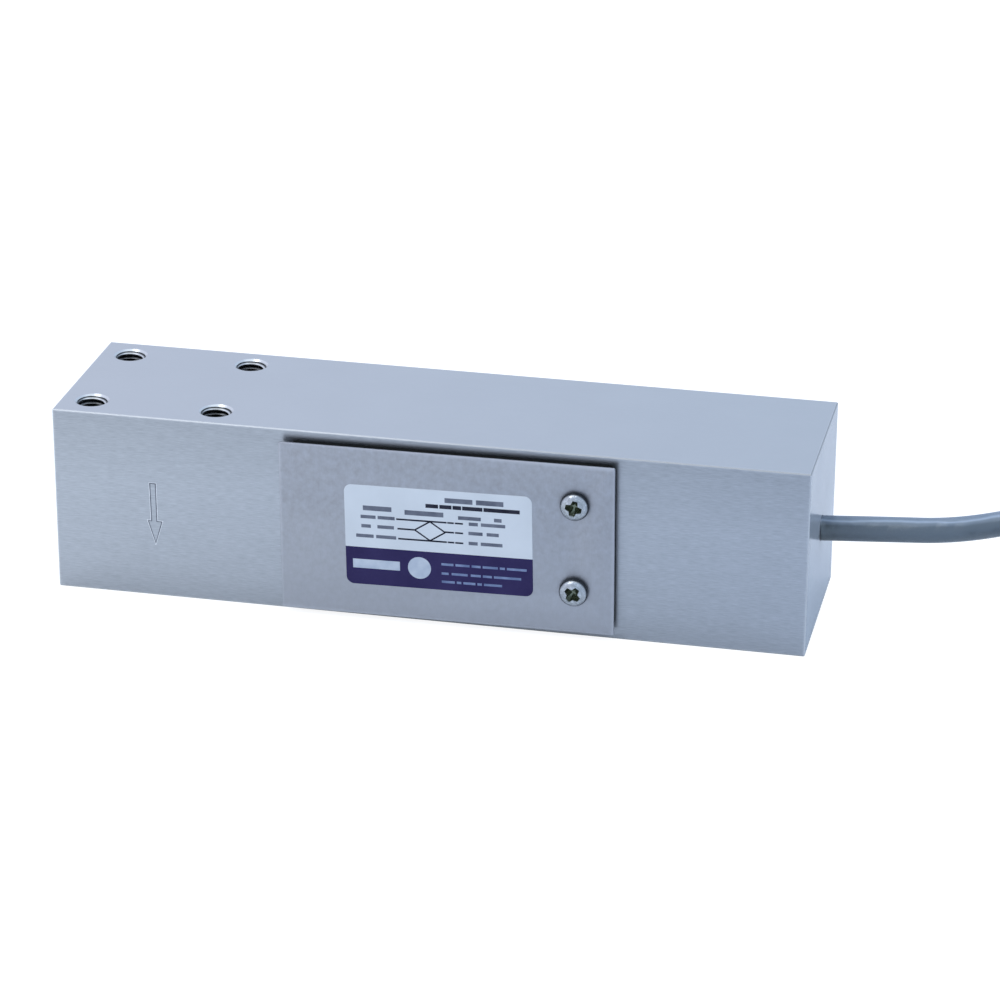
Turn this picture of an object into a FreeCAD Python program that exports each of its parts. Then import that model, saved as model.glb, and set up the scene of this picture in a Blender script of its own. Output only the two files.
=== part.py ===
import FreeCAD, Part
import math
import os

# Single point load cell: a solid aluminium bar with a four-bore cut-out, closed on both sides by a
# thin cover, and a grey lead that leaves the fixed end. Millimetres. The origin is the middle of the
# bar's underside, +X runs to the end that the lead leaves, -Y is the face with the label, +Z is up.

# Bar
bar_length = 150.0
bar_width = 38.0
bar_height = 38.0
edge_break = 0.2

# Tapped mounting holes: M6, drawn at the thread's outer diameter
bolt_spacing_x = 25.4
bolt_spacing_y = 25.4
bolt_end_margin = 6.3
bolt_hole_radius = 3.0
bolt_hole_depth = 16.0
bolt_chamfer = 0.4
drill_point_angle = 118.0

# Cut-out: four bores that leave a thin flexure each, joined by a window
bore_radius = 7.5
bore_offset_x = 9.3
flexure_thickness = 1.6
window_half_length = 15.0
window_half_height = 13.0
sealant_thickness = 3.5

# Covers and their gaskets
cover_length = 66.3
cover_margin_top = 1.65
cover_margin_bottom = 1.4
cover_thickness = 0.6
cover_corner_radius = 0.35
cover_center_x = 4.75
cover_turn = 0.45
gasket_thickness = 1.6
gasket_inset_left = 1.8
gasket_inset_right = 0.15
gasket_inset_top = 0.15
gasket_inset_bottom = 1.1
gasket_corner_radius = 1.6

# Cover screws: M3 pan heads with a cross recess
screw_x = 30.1
screw_above_middle = 0.3
screw_spacing_z = 18.0
screw_shank_radius = 1.45
screw_tap_radius = 1.5
screw_tap_depth = 9.0
screw_length = 8.0
screw_hole_clearance = 0.25
screw_head_radius = 2.85
screw_head_height = 1.9
screw_head_rim = 0.7
screw_crown_radius = 1.75
screw_crown_bulge = 0.3
screw_tip_chamfer = 0.4
upper_screw_turn = 12.0
lower_screw_turn = 38.0
recess_arm_length = 3.3
recess_arm_width = 0.75
recess_depth = 1.1

# Label
label_length = 37.2
label_height = 21.0
label_thickness = 0.12
label_corner_radius = 1.5
label_center_x = 3.3
label_below_middle = 0.5
label_turn = 1.1

# Strain gauges, each on the skin of its bore under the thin flexure
gauge_width = 10.0
gauge_thickness = 0.2
gauge_half_angle = 20.0
gauge_glue = 0.05
gauge_wire_width = 0.5
gauge_wire_half_spacing = 1.5
wire_solder_gap = 0.03
wire_below_web = 5.0
wire_side_step = 4.0
wire_drop = 5.2

# Terminal board on the window's wall, with solder pads and trimming resistors
board_half_length = 10.6
board_height = 8.6
board_thickness = 0.8
pad_radius = 0.75
pad_thickness = 0.15
pad_row_offset_z = 2.5
core_pad_spacing = 6.6
inner_gauge_pad_y = 3.3
outer_gauge_pad_y = 9.7
resistor_length = 4.0
resistor_height = 1.4
resistor_thickness = 1.2
resistor_spacing = 8.0

# Lead
cable_diameter = 5.0
cable_bore_clearance = 0.2
cable_end_in_window = 9.0
crimp_length = 4.0
crimp_wall = 1.8
core_radius = 0.55
core_circle_radius = 1.45
core_straight = 4.0
core_pad_reach = 4.5
core_names = ("red", "black", "green", "white", "blue", "brown")

# Route of the free lead, chosen by hand: it leaves level, rises a little and lies on its hank
cable_points = (
    (75.0, 0.0, 19.0),
    (87.0, 0.0, 19.0),
    (101.0, 1.6, 20.4),
    (115.5, 5.6, 22.6),
    (130.5, 10.4, 24.2),
    (145.0, 10.4, 24.2),
)

# Hank of the spare length: two columns of turns, four rows, and the run on top that feeds it
turn_pitch = 5.2
hank_rows = 4
hank_inner_radius = 15.2
hank_run = 70.0
hank_level_run = 12.0
hank_dip_run = 16.0
strap_width = 8.0
strap_thickness = 0.8
strap_clearance = 0.1
hank_rim_chamfer = 1.5
lead_place_margin = 2.0
end_lead_straight = 7.0
end_lead_spread = 1.35
end_lead_step = 1.5
shield_shorter = 6.0
tinned_share = 0.7
jacket_end_from_strap = 14.0
stripped_length = 24.0
tinned_length = 5.0
shield_radius = 0.8

# Sizes that follow
half_length = bar_length / 2
half_width = bar_width / 2
middle_z = bar_height / 2
bolt_center_x = half_length - bolt_end_margin - bolt_spacing_x / 2
upper_bore_z = bar_height - flexure_thickness - bore_radius
lower_bore_z = flexure_thickness + bore_radius
cable_radius = cable_diameter / 2
board_face_x = board_thickness - window_half_length
pad_face_x = board_face_x + pad_thickness
cover_face_y = half_width + gasket_thickness + cover_thickness
cover_height = bar_height - cover_margin_top - cover_margin_bottom
cover_center_z = cover_margin_bottom + cover_height / 2
screw_middle_z = middle_z + screw_above_middle
screw_heights = (
    screw_middle_z - screw_spacing_z / 2,
    screw_middle_z + screw_spacing_z / 2,
)
label_center_z = middle_z - label_below_middle
hank_outer_radius = hank_inner_radius + turn_pitch
hank_bottom = strap_thickness
hank_height = hank_rows * turn_pitch
hank_top = hank_bottom + hank_height
hank_start_x = cable_points[-1][0]
hank_end_x = hank_start_x + hank_run
hank_center_x = (hank_start_x + hank_end_x) / 2
hank_center_y = cable_points[-1][1] - hank_outer_radius


def vec(x, y, z):
    return FreeCAD.Vector(x, y, z)


def save(name, shape):
    shape.exportStep("parts/" + name + ".step")
    print(name, "solids", len(shape.Solids), "volume", round(shape.Volume, 2), "valid", shape.isValid())


def box(x0, x1, y0, y1, z0, z1):
    return Part.makeBox(x1 - x0, y1 - y0, z1 - z0, vec(x0, y0, z0))


def rounded_rectangle(length, height, radius):
    """Closed wire in the XZ plane, about the origin."""
    half_l = length / 2
    half_h = height / 2
    corners = (
        (half_l - radius, half_h - radius, 0.0),
        (radius - half_l, half_h - radius, 90.0),
        (radius - half_l, radius - half_h, 180.0),
        (half_l - radius, radius - half_h, 270.0),
    )
    edges = []
    starts = []
    ends = []
    for x, z, first in corners:
        points = []
        for angle in (first, first + 45.0, first + 90.0):
            turn = math.radians(angle)
            points.append(vec(x + radius * math.cos(turn), 0, z + radius * math.sin(turn)))
        edges.append(Part.Arc(*points).toShape())
        starts.append(points[0])
        ends.append(points[2])
    sides = [Part.makeLine(ends[i], starts[(i + 1) % 4]) for i in range(4)]
    outline = []
    for arc, side in zip(edges, sides):
        outline += [arc, side]
    return Part.Wire(outline)


def sheet(wire, y0, y1):
    """Plate between two Y planes from a wire in the XZ plane."""
    plate = Part.Face(wire).extrude(vec(0, y1 - y0, 0))
    plate.translate(vec(0, y0, 0))
    return plate


def turned_and_placed(shape, turn, x, z):
    """Turn a sheet in its own plane, left side down as seen from the front, and move it."""
    shape.rotate(vec(0, 0, 0), vec(0, 1, 0), -turn)
    shape.translate(vec(x, 0, z))
    return shape


def bent_path(points, show=False):
    """Straight runs joined by tangent arcs, each as large as its two runs allow."""
    knots = [vec(*p) for p in points]
    edges = []
    here = knots[0]
    for before, corner, after in zip(knots, knots[1:], knots[2:]):
        back = before.sub(corner)
        ahead = after.sub(corner)
        shorter = min(back.Length, ahead.Length)
        back.normalize()
        ahead.normalize()
        turn = math.pi - back.getAngle(ahead)
        radius = 0.45 * shorter / math.tan(turn / 2)
        reach = 0.45 * shorter
        first = corner.add(back * reach)
        last = corner.add(ahead * reach)
        toward = back.add(ahead)
        toward.normalize()
        inside = radius / math.cos(turn / 2) - radius
        middle = corner.add(toward * inside)
        edges.append(Part.LineSegment(here, first).toShape())
        edges.append(Part.Arc(first, middle, last).toShape())
        here = last
        if show:
            print("  arc radius", round(radius, 1), "turn", round(math.degrees(turn), 1))
    edges.append(Part.LineSegment(here, knots[-1]).toShape())
    return Part.Wire(edges)


def tube(points, radius, show=False):
    """Round tube along the bent path of some points."""
    path = bent_path(points, show)
    direction = vec(*points[1]).sub(vec(*points[0]))
    circle = Part.Wire(Part.makeCircle(radius, vec(*points[0]), direction))
    solid = path.makePipeShell([circle], True, False)
    if show:
        expected = math.pi * radius**2 * path.Length
        print("  path", round(path.Length, 2), "volume ratio", round(solid.Volume / expected, 5))
    return solid


def flat_lead(points, width):
    """Square lead along the bent path of some points, the first run of which is upright."""
    half = width / 2
    x, y, z = points[0]
    corners = []
    for dx, dy in ((-half, -half), (half, -half), (half, half), (-half, half), (-half, -half)):
        corners.append(vec(x + dx, y + dy, z))
    return bent_path(points).makePipeShell([Part.makePolygon(corners)], True, False)


def blind_hole(x, y, z, into):
    """Tapped hole with a chamfer at its mouth and a drill point; into is -1 for down, 1 for up."""
    down = vec(0, 0, into)
    mouth = vec(x, y, z)
    bottom = vec(x, y, z + into * bolt_hole_depth)
    point = bolt_hole_radius / math.tan(math.radians(drill_point_angle / 2))
    hole = Part.makeCylinder(bolt_hole_radius, bolt_hole_depth, mouth, down)
    tip = Part.makeCone(bolt_hole_radius, 0, point, bottom, down)
    rim = Part.makeCone(bolt_hole_radius + bolt_chamfer, bolt_hole_radius, bolt_chamfer, mouth, down)
    return hole.fuse([tip, rim])


def cut_out(y0, y1):
    """Four bores and the window that joins them, between two Y planes."""
    window = box(
        -window_half_length,
        window_half_length,
        y0,
        y1,
        middle_z - window_half_height,
        middle_z + window_half_height,
    )
    bores = []
    for x in (-bore_offset_x, bore_offset_x):
        for z in (lower_bore_z, upper_bore_z):
            bores.append(Part.makeCylinder(bore_radius, y1 - y0, vec(x, y0, z), vec(0, 1, 0)))
    return window.fuse(bores).removeSplitter()


def beam():
    bar = box(-half_length, half_length, -half_width, half_width, 0, bar_height)
    bar = bar.makeChamfer(edge_break, bar.Edges)
    cuts = [cut_out(-half_width - 1, half_width + 1)]
    for sx in (-1, 1):
        for sy in (-1, 1):
            dx = sx * bolt_spacing_x / 2
            y = sy * bolt_spacing_y / 2
            cuts.append(blind_hole(dx - bolt_center_x, y, bar_height, -1))
            cuts.append(blind_hole(dx + bolt_center_x, y, 0, 1))
    bore = cable_radius + cable_bore_clearance / 2
    cuts.append(Part.makeCylinder(bore, half_length, vec(0, 0, middle_z), vec(1, 0, 0)))
    for side in (-1, 1):
        for z in screw_heights:
            mouth = vec(screw_x, side * half_width, z)
            cuts.append(Part.makeCylinder(screw_tap_radius, screw_tap_depth, mouth, vec(0, -side, 0)))
    return bar.cut(cuts).removeSplitter()


def screw_clearance_holes(radius):
    holes = []
    for z in screw_heights:
        start = vec(screw_x, -2 * half_width, z)
        holes.append(Part.makeCylinder(radius, 4 * half_width, start, vec(0, 1, 0)))
    return holes


def cover(side, turn):
    """Thin plate outside its gasket; side is -1 for the front face, 1 for the rear."""
    inner = half_width + gasket_thickness
    wire = rounded_rectangle(cover_length, cover_height, cover_corner_radius)
    plate = sheet(wire, min(side * inner, side * cover_face_y), max(side * inner, side * cover_face_y))
    plate = turned_and_placed(plate, turn, cover_center_x, cover_center_z)
    return plate.cut(screw_clearance_holes(screw_shank_radius + screw_hole_clearance))


def gasket(side, turn):
    """Rubber sheet between the bar and its cover, set in at three sides."""
    length = cover_length - gasket_inset_left - gasket_inset_right
    height = cover_height - gasket_inset_top - gasket_inset_bottom
    wire = rounded_rectangle(length, height, gasket_corner_radius)
    outer = half_width + gasket_thickness
    pad = sheet(wire, min(side * half_width, side * outer), max(side * half_width, side * outer))
    shift_x = (gasket_inset_left - gasket_inset_right) / 2
    shift_z = (gasket_inset_bottom - gasket_inset_top) / 2
    pad.translate(vec(shift_x, 0, shift_z))
    pad = turned_and_placed(pad, turn, cover_center_x, cover_center_z)
    return pad.cut(screw_clearance_holes(screw_shank_radius + screw_hole_clearance))


def cover_screw(side, z, turn):
    """Pan head screw with a cross recess, its axis along Y."""
    seat = cover_face_y
    tip = seat - screw_length
    profile = [
        vec(0, tip, 0),
        vec(screw_shank_radius - screw_tip_chamfer, tip, 0),
        vec(screw_shank_radius, tip + screw_tip_chamfer, 0),
        vec(screw_shank_radius, seat, 0),
        vec(screw_head_radius, seat, 0),
        vec(screw_head_radius, seat + screw_head_rim, 0),
    ]
    edges = [Part.makeLine(a, b) for a, b in zip(profile, profile[1:])]
    rim = profile[-1]
    top = vec(screw_crown_radius, seat + screw_head_height, 0)
    outward = vec(top.y - rim.y, rim.x - top.x, 0)
    outward.normalize()
    bulge = (rim + top) * 0.5 + outward * screw_crown_bulge
    axis_top = vec(0, seat + screw_head_height, 0)
    edges.append(Part.Arc(rim, bulge, top).toShape())
    edges.append(Part.makeLine(top, axis_top))
    edges.append(Part.makeLine(axis_top, profile[0]))
    body = Part.Face(Part.Wire(edges)).revolve(vec(0, 0, 0), vec(0, 1, 0), 360)
    floor = seat + screw_head_height - recess_depth
    arms = []
    for along, across in ((recess_arm_length, recess_arm_width), (recess_arm_width, recess_arm_length)):
        arms.append(box(-along / 2, along / 2, floor, 2 * seat, -across / 2, across / 2))
    body = body.cut(arms)
    body.rotate(vec(0, 0, 0), vec(0, 1, 0), turn)
    if side < 0:
        body.rotate(vec(0, 0, 0), vec(1, 0, 0), 180)
    body.translate(vec(screw_x, 0, z))
    return body


def label():
    wire = rounded_rectangle(label_length, label_height, label_corner_radius)
    plate = sheet(wire, -cover_face_y - label_thickness, -cover_face_y)
    return turned_and_placed(plate, label_turn, label_center_x, label_center_z)


def sealant(side):
    """Soft compound that closes the cut-out flush with the bar's face."""
    outer = side * half_width
    inner = side * (half_width - sealant_thickness)
    return cut_out(min(outer, inner), max(outer, inner))


def strain_gauge(side_x, up):
    """Thin curved foil on the bore's skin, at the flexure's thinnest place."""
    center_x = side_x * bore_offset_x
    center_z = upper_bore_z if up > 0 else lower_bore_z
    skin = bore_radius - gauge_glue
    arcs = []
    for radius in (skin, skin - gauge_thickness):
        points = []
        for angle in (-gauge_half_angle, 0.0, gauge_half_angle):
            turn = math.radians(angle)
            points.append(vec(center_x + radius * math.sin(turn), 0, center_z + up * radius * math.cos(turn)))
        arcs.append(points)
    outer, inner = arcs
    edges = [
        Part.Arc(*outer).toShape(),
        Part.makeLine(outer[2], inner[2]),
        Part.Arc(*inner).toShape(),
        Part.makeLine(inner[0], outer[0]),
    ]
    outline = Part.Wire(Part.__sortEdges__(edges))
    return sheet(outline, -gauge_width / 2, gauge_width / 2)


def gauge_wires(side_x, up):
    """Two thin leads from a gauge to its pads on the terminal board."""
    z_gauge = middle_z + up * (upper_bore_z - middle_z + bore_radius - gauge_glue - gauge_thickness)
    pad_y = inner_gauge_pad_y if side_x < 0 else outer_gauge_pad_y
    x = side_x * bore_offset_x
    level_z = middle_z + up * (window_half_height - wire_below_web)
    pad_z = middle_z + up * pad_row_offset_z
    wires = []
    for side_y in (-1, 1):
        start_y = side_y * gauge_wire_half_spacing
        end_y = side_y * pad_y
        points = [
            (x, start_y, z_gauge - up * wire_solder_gap),
            (x, start_y, z_gauge - up * wire_drop),
            (min(x - wire_side_step, wire_side_step / 2), (start_y + end_y) / 2, level_z),
            (pad_face_x + wire_side_step, end_y, (level_z + pad_z) / 2),
            (pad_face_x + wire_side_step / 2, end_y, pad_z),
            (pad_face_x, end_y, pad_z),
        ]
        wires.append(flat_lead(points, gauge_wire_width))
    return Part.makeCompound(wires)


def terminal_board():
    return box(
        -window_half_length,
        board_face_x,
        -board_half_length,
        board_half_length,
        middle_z - board_height / 2,
        middle_z + board_height / 2,
    )


def solder_pads():
    pads = []
    places = [0.0]
    for y in (core_pad_spacing, inner_gauge_pad_y, outer_gauge_pad_y):
        places += [y, -y]
    for y in places:
        for up in (-1, 1):
            start = vec(board_face_x, y, middle_z + up * pad_row_offset_z)
            pads.append(Part.makeCylinder(pad_radius, pad_thickness, start, vec(1, 0, 0)))
    return Part.makeCompound(pads)


def trimming_resistor(side_y):
    y = side_y * resistor_spacing / 2
    return box(
        board_face_x,
        board_face_x + resistor_thickness,
        y - resistor_length / 2,
        y + resistor_length / 2,
        middle_z - resistor_height / 2,
        middle_z + resistor_height / 2,
    )


def held_cable():
    """The lead inside the bar, from the window to the end face."""
    length = half_length - cable_end_in_window
    return Part.makeCylinder(cable_radius, length, vec(cable_end_in_window, 0, middle_z), vec(1, 0, 0))


def cable_crimp():
    """Ring pressed on the lead, against the window's wall, so that it can't be pulled out."""
    start = vec(window_half_length - crimp_length, 0, middle_z)
    ring = Part.makeCylinder(cable_radius + crimp_wall, crimp_length, start, vec(1, 0, 0))
    return ring.cut(Part.makeCylinder(cable_radius, crimp_length, start, vec(1, 0, 0)))


def core_offset(index):
    """Place of one of the six cores round the lead's middle, three above and three below."""
    turn = math.radians(30 + 60 * index)
    return core_circle_radius * math.cos(turn), core_circle_radius * math.sin(turn)


def inner_core(index):
    dy, dz = core_offset(index)
    up = 1 if dz > 0 else -1
    pad_y = core_pad_spacing * round(dy / core_circle_radius)
    pad_z = middle_z + up * pad_row_offset_z
    points = [
        (cable_end_in_window, dy, middle_z + dz),
        (cable_end_in_window - core_straight, dy, middle_z + dz),
        (pad_face_x + core_pad_reach, pad_y, pad_z),
        (pad_face_x, pad_y, pad_z),
    ]
    return tube(points, core_radius)


def stadium(radius, z0, z1):
    """Solid with two straight runs and round ends, as wide as two radii."""
    ends = []
    for x in (hank_start_x, hank_end_x):
        ends.append(Part.makeCylinder(radius, z1 - z0, vec(x, hank_center_y, z0)))
    middle = box(
        hank_start_x,
        hank_end_x,
        hank_center_y - radius,
        hank_center_y + radius,
        z0,
        z1,
    )
    return middle.fuse(ends).removeSplitter()


jacket_end_x = hank_center_x - strap_width / 2 - jacket_end_from_strap
jacket_end_y = hank_center_y - hank_inner_radius
jacket_end_z = hank_bottom + hank_height - turn_pitch / 2


def cable_hank():
    """The wound spare length as one closed shape, with the run on top that feeds it."""
    outer = stadium(hank_outer_radius + turn_pitch / 2, hank_bottom, hank_top)
    inner = stadium(hank_inner_radius - turn_pitch / 2, hank_bottom - 1, hank_top + 1)
    ring = outer.cut(inner)
    rims = [e for e in ring.Edges if abs(e.BoundBox.ZMin - e.BoundBox.ZMax) < 1e-6]
    ring = ring.makeChamfer(hank_rim_chamfer, rims)
    x, y, z = cable_points[-1]
    feed = [
        (x, y, z),
        (x + hank_level_run, y, z),
        (x + hank_level_run + hank_dip_run, y, z - turn_pitch),
    ]
    top_run = tube(feed, turn_pitch / 2)
    saddle = box(x, x + hank_level_run, y - turn_pitch / 2, y + turn_pitch / 2, hank_top - turn_pitch / 2, z)
    leads_place = box(
        jacket_end_x - stripped_length - lead_place_margin,
        jacket_end_x,
        jacket_end_y - turn_pitch / 2,
        jacket_end_y + turn_pitch,
        hank_top - turn_pitch,
        hank_top + 1,
    )
    return ring.fuse([top_run, saddle]).cut(leads_place).removeSplitter()


def hank_strap():
    """Soft strap wound once round the middle of the hank."""
    gap = strap_clearance
    half = hank_outer_radius + turn_pitch / 2 + gap
    height = hank_height + gap
    corner = hank_rim_chamfer + gap
    inner = rounded_rectangle(2 * half, height, corner)
    full = rounded_rectangle(
        2 * (half + strap_thickness),
        height + 2 * strap_thickness,
        corner + strap_thickness,
    )
    band = sheet(full, -strap_width / 2, strap_width / 2)
    band = band.cut(sheet(inner, -strap_width / 2, strap_width / 2))
    band.rotate(vec(0, 0, 0), vec(0, 0, 1), 90)
    middle = hank_bottom + height / 2
    band.translate(vec(hank_center_x, hank_center_y, middle))
    return band


def end_lead(index):
    """One stripped core beyond the jacket, and its tinned tip as a solid of its own."""
    dy, dz = core_offset(index)
    tip_x = jacket_end_x - stripped_length + end_lead_step * (index % 3)
    bend = (jacket_end_x - end_lead_straight, jacket_end_y + dy, jacket_end_z + dz)
    bare = (
        tip_x + tinned_length,
        jacket_end_y + end_lead_spread * dy,
        jacket_end_z + end_lead_spread * dz,
    )
    start = (jacket_end_x, bend[1], bend[2])
    insulated = tube([start, bend, bare], core_radius)
    direction = vec(*bare).sub(vec(*bend))
    tip = Part.makeCylinder(core_radius * tinned_share, tinned_length, vec(*bare), direction)
    return Part.makeCompound([insulated, tip])


def end_shield():
    """Twisted screen in the middle of the stripped cores."""
    start = vec(jacket_end_x, jacket_end_y, jacket_end_z)
    return Part.makeCylinder(shield_radius, stripped_length - shield_shorter, start, vec(-1, 0, 0))


os.makedirs("parts", exist_ok=True)

save("beam", beam())
save("front_cover", cover(-1, cover_turn))
save("rear_cover", cover(1, 0))
save("front_gasket", gasket(-1, cover_turn))
save("rear_gasket", gasket(1, 0))
for side, face in ((-1, "front"), (1, "rear")):
    save(face + "_cover_screw_lower", cover_screw(side, screw_heights[0], lower_screw_turn))
    save(face + "_cover_screw_upper", cover_screw(side, screw_heights[1], upper_screw_turn))
save("rating_label", label())
save("front_sealant", sealant(-1))
save("rear_sealant", sealant(1))
for side_x, end in ((-1, "load_end"), (1, "cable_end")):
    for up, level in ((-1, "lower"), (1, "upper")):
        save("strain_gauge_" + end + "_" + level, strain_gauge(side_x, up))
        save("gauge_wires_" + end + "_" + level, gauge_wires(side_x, up))
save("terminal_board", terminal_board())
save("solder_pads", solder_pads())
save("zero_trim_resistor", trimming_resistor(-1))
save("span_trim_resistor", trimming_resistor(1))
save("cable_crimp", cable_crimp())
save("cable_in_bar", held_cable())
for index, colour in enumerate(core_names):
    save("core_" + colour, inner_core(index))
save("cable", tube(cable_points, cable_radius, True))
save("cable_hank", cable_hank())
save("hank_strap", hank_strap())
for index, colour in enumerate(core_names):
    save("end_lead_" + colour, end_lead(index))
save("end_shield", end_shield())
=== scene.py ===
import math

import bmesh
import bpy
from bpy.props import FloatProperty, FloatVectorProperty, IntProperty, PointerProperty
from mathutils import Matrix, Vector


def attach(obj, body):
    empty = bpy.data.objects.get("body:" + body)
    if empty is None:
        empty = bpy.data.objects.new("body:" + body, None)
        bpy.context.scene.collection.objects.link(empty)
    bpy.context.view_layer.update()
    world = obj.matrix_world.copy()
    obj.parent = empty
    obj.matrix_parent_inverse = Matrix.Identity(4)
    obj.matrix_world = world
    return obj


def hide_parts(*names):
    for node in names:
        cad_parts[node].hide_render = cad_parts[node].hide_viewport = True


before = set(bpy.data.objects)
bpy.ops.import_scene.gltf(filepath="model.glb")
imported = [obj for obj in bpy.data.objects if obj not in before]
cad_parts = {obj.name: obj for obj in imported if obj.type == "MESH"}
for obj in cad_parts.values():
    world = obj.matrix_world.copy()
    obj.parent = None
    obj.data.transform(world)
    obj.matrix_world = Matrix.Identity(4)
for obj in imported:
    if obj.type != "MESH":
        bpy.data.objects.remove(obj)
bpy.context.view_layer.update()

bl_info = {
    "name": "Single Point Load Cell",
    "version": (1, 0, 0),
    "blender": (4, 5, 0),
    "location": "View3D > Sidebar > Load Cell",
    "description": "Dresses a single point load cell: bar, covers, screws, label and lead",
    "category": "Add Mesh",
}

MM = 0.001

# Bar, covers and gaskets, in millimetres, as in the solids; turns are in degrees
BAR_LENGTH = 150.0
BAR_SIDE = 38.0
FACE_Y = BAR_SIDE / 2
GASKET_THICKNESS = 1.6
COVER_THICKNESS = 0.6
COVER_FACE_Y = FACE_Y + GASKET_THICKNESS + COVER_THICKNESS
COVER_SIZE = (66.3, 34.95)
COVER_CENTER = (4.75, 18.875)
COVER_CORNER = 0.35
FRONT_TURN = 0.45
INSET_LEFT, INSET_RIGHT, INSET_TOP, INSET_BOTTOM = 1.8, 0.15, 0.15, 1.1
GASKET_CORNER = 1.6

# Rims of the sheets, as (outward, depth) from the face to the back
COVER_RIM = (
    (-0.12, COVER_THICKNESS),
    (-0.06, COVER_THICKNESS - 0.02),
    (0.0, COVER_THICKNESS - 0.12),
    (0.0, 0.10),
    (-0.08, 0.0),
)
GASKET_RIM = ((-0.06, 1.6), (0.03, 1.45), (0.09, 1.1), (0.11, 0.8), (0.09, 0.5), (0.03, 0.15), (-0.06, 0.0))

# Tapped holes
HOLE_CENTER_X = 56.0
HOLE_HALF_PITCH = 12.7
HOLE_REACH = 3.5

# Threads: the turns over which a ridge fades, and the half widths of its root and crest in pitches.
# Each row of holes has its side, its mouth's height, the roll of its copies, and the turn at which
# they start, as (middle, along x, along y)
THREAD_START = 0.38
THREAD_FADE = 0.35
THREAD_ROOT = 0.455
THREAD_CREST = 0.065
STEPS_A_TURN = 24
THREADED_FACES = (
    (-1, BAR_SIDE - THREAD_START, 0.0, (4.5, 0.12, 0.08)),
    (1, THREAD_START, math.pi, (0.0, 0.5, -0.3)),
)

# Cover screws: their places, then the shank as (radius, outward), the head's dome as (inset from
# the head's radius, outward), and the recess as one arm's corners and (outward, share) levels
SCREW_X = 30.1
SCREW_HEIGHTS = (10.3, 28.3)
SCREW_TURNS = (38.0, 12.0)
SCREW_HOLE_RADIUS = 1.7
SHANK = ((1.05, -6.1), (1.42, -5.7), (1.42, 0.0))
DOME = (
    (0.12, 0.0),
    (0.0, 0.10),
    (0.0, 0.62),
    (0.07, 0.85),
    (0.30, 1.17),
    (0.70, 1.48),
    (1.25, 1.74),
    (1.90, 1.88),
)
DOME_TOP = 1.92
RECESS_ARM = ((0.72, -0.72), (1.66, -0.48), (1.66, 0.48))
RECESS_LEVELS = ((2.4, 1.10), (1.9, 1.04), (1.2, 0.82), (0.45, 0.46), (0.25, 0.25))

# Free lead, in metres: the points of its route up to the hank. The share of the radius that each
# point has is a mean with a small swing, whose wave goes on by a step
CABLE_MEAN, CABLE_SWING, CABLE_STEP = 0.995, 0.010, 2.1
CABLE_POINTS = (
    (0.075, 0.0, 0.019),
    (0.087, 0.0006, 0.0196),
    (0.101, 0.0016, 0.0201),
    (0.1155, 0.0056, 0.0226),
    (0.1305, 0.0104, 0.0242),
    (0.145, 0.0104, 0.0242),
)

# Hank, in millimetres; the lead changes rows and columns at the x places of its straight runs
HANK_START_X = 145.0
HANK_END_X = 215.0
HANK_CENTER_Y = -10.0
OUTER_RADIUS = 20.4
INNER_RADIUS = 15.2
ROW_HEIGHTS = (3.4, 8.6, 13.8, 19.0)
ROW_SWELLS = (0.0, 0.9, -0.3, 0.5)
FEED_HEIGHT = 24.2
OUTER_BACK_X = (152, 174, 181)
OUTER_FRONT_X = 180
INWARD_X = (190, 172, 154)
INNER_BACK_X = 180
INNER_FRONT_X = (208, 187, 180)
JACKET_END = (162.0, -25.2, 19.0)

# Strap round the hank; its ends lie on top, as (y, above the top)
STRAP_START = ((6.0, 0.0), (0.0, -0.1), (-10.0, -0.25), (-20.0, -0.1))
STRAP_END = ((8.0, 0.15), (3.0, 0.8), (-3.0, 0.75), (-9.0, 0.7))
STRAP_LOW = 0.45
STRAP_HIGH = 22.1
STRAP_CORNER = 1.9
STRAP_GAP = 2.7

# Stripped end; the cores differ a little in length and lean, and their tips go on outward
LEAD_COLOURS = ("red", "black", "green", "white", "blue", "brown")
STRIPPED_LENGTH = 24.0
CORE_RADIUS = 0.55
CORE_RING = 1.45
CORE_STAGGER = 1.5
CORE_LEAN = 0.25
TIP_START = 5.0
TIP_SPREAD = 1.35
TIP_FLARE = 0.06
CORE_STRANDS = {"Strands": 7, "Strand Radius": 0.00015, "Lay Radius": 0.00024, "Twist Length": 0.006}
SCREEN_STRANDS = {"Strands": 14, "Strand Radius": 0.00014, "Lay Radius": 0.00060, "Twist Length": 0.014}

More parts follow.
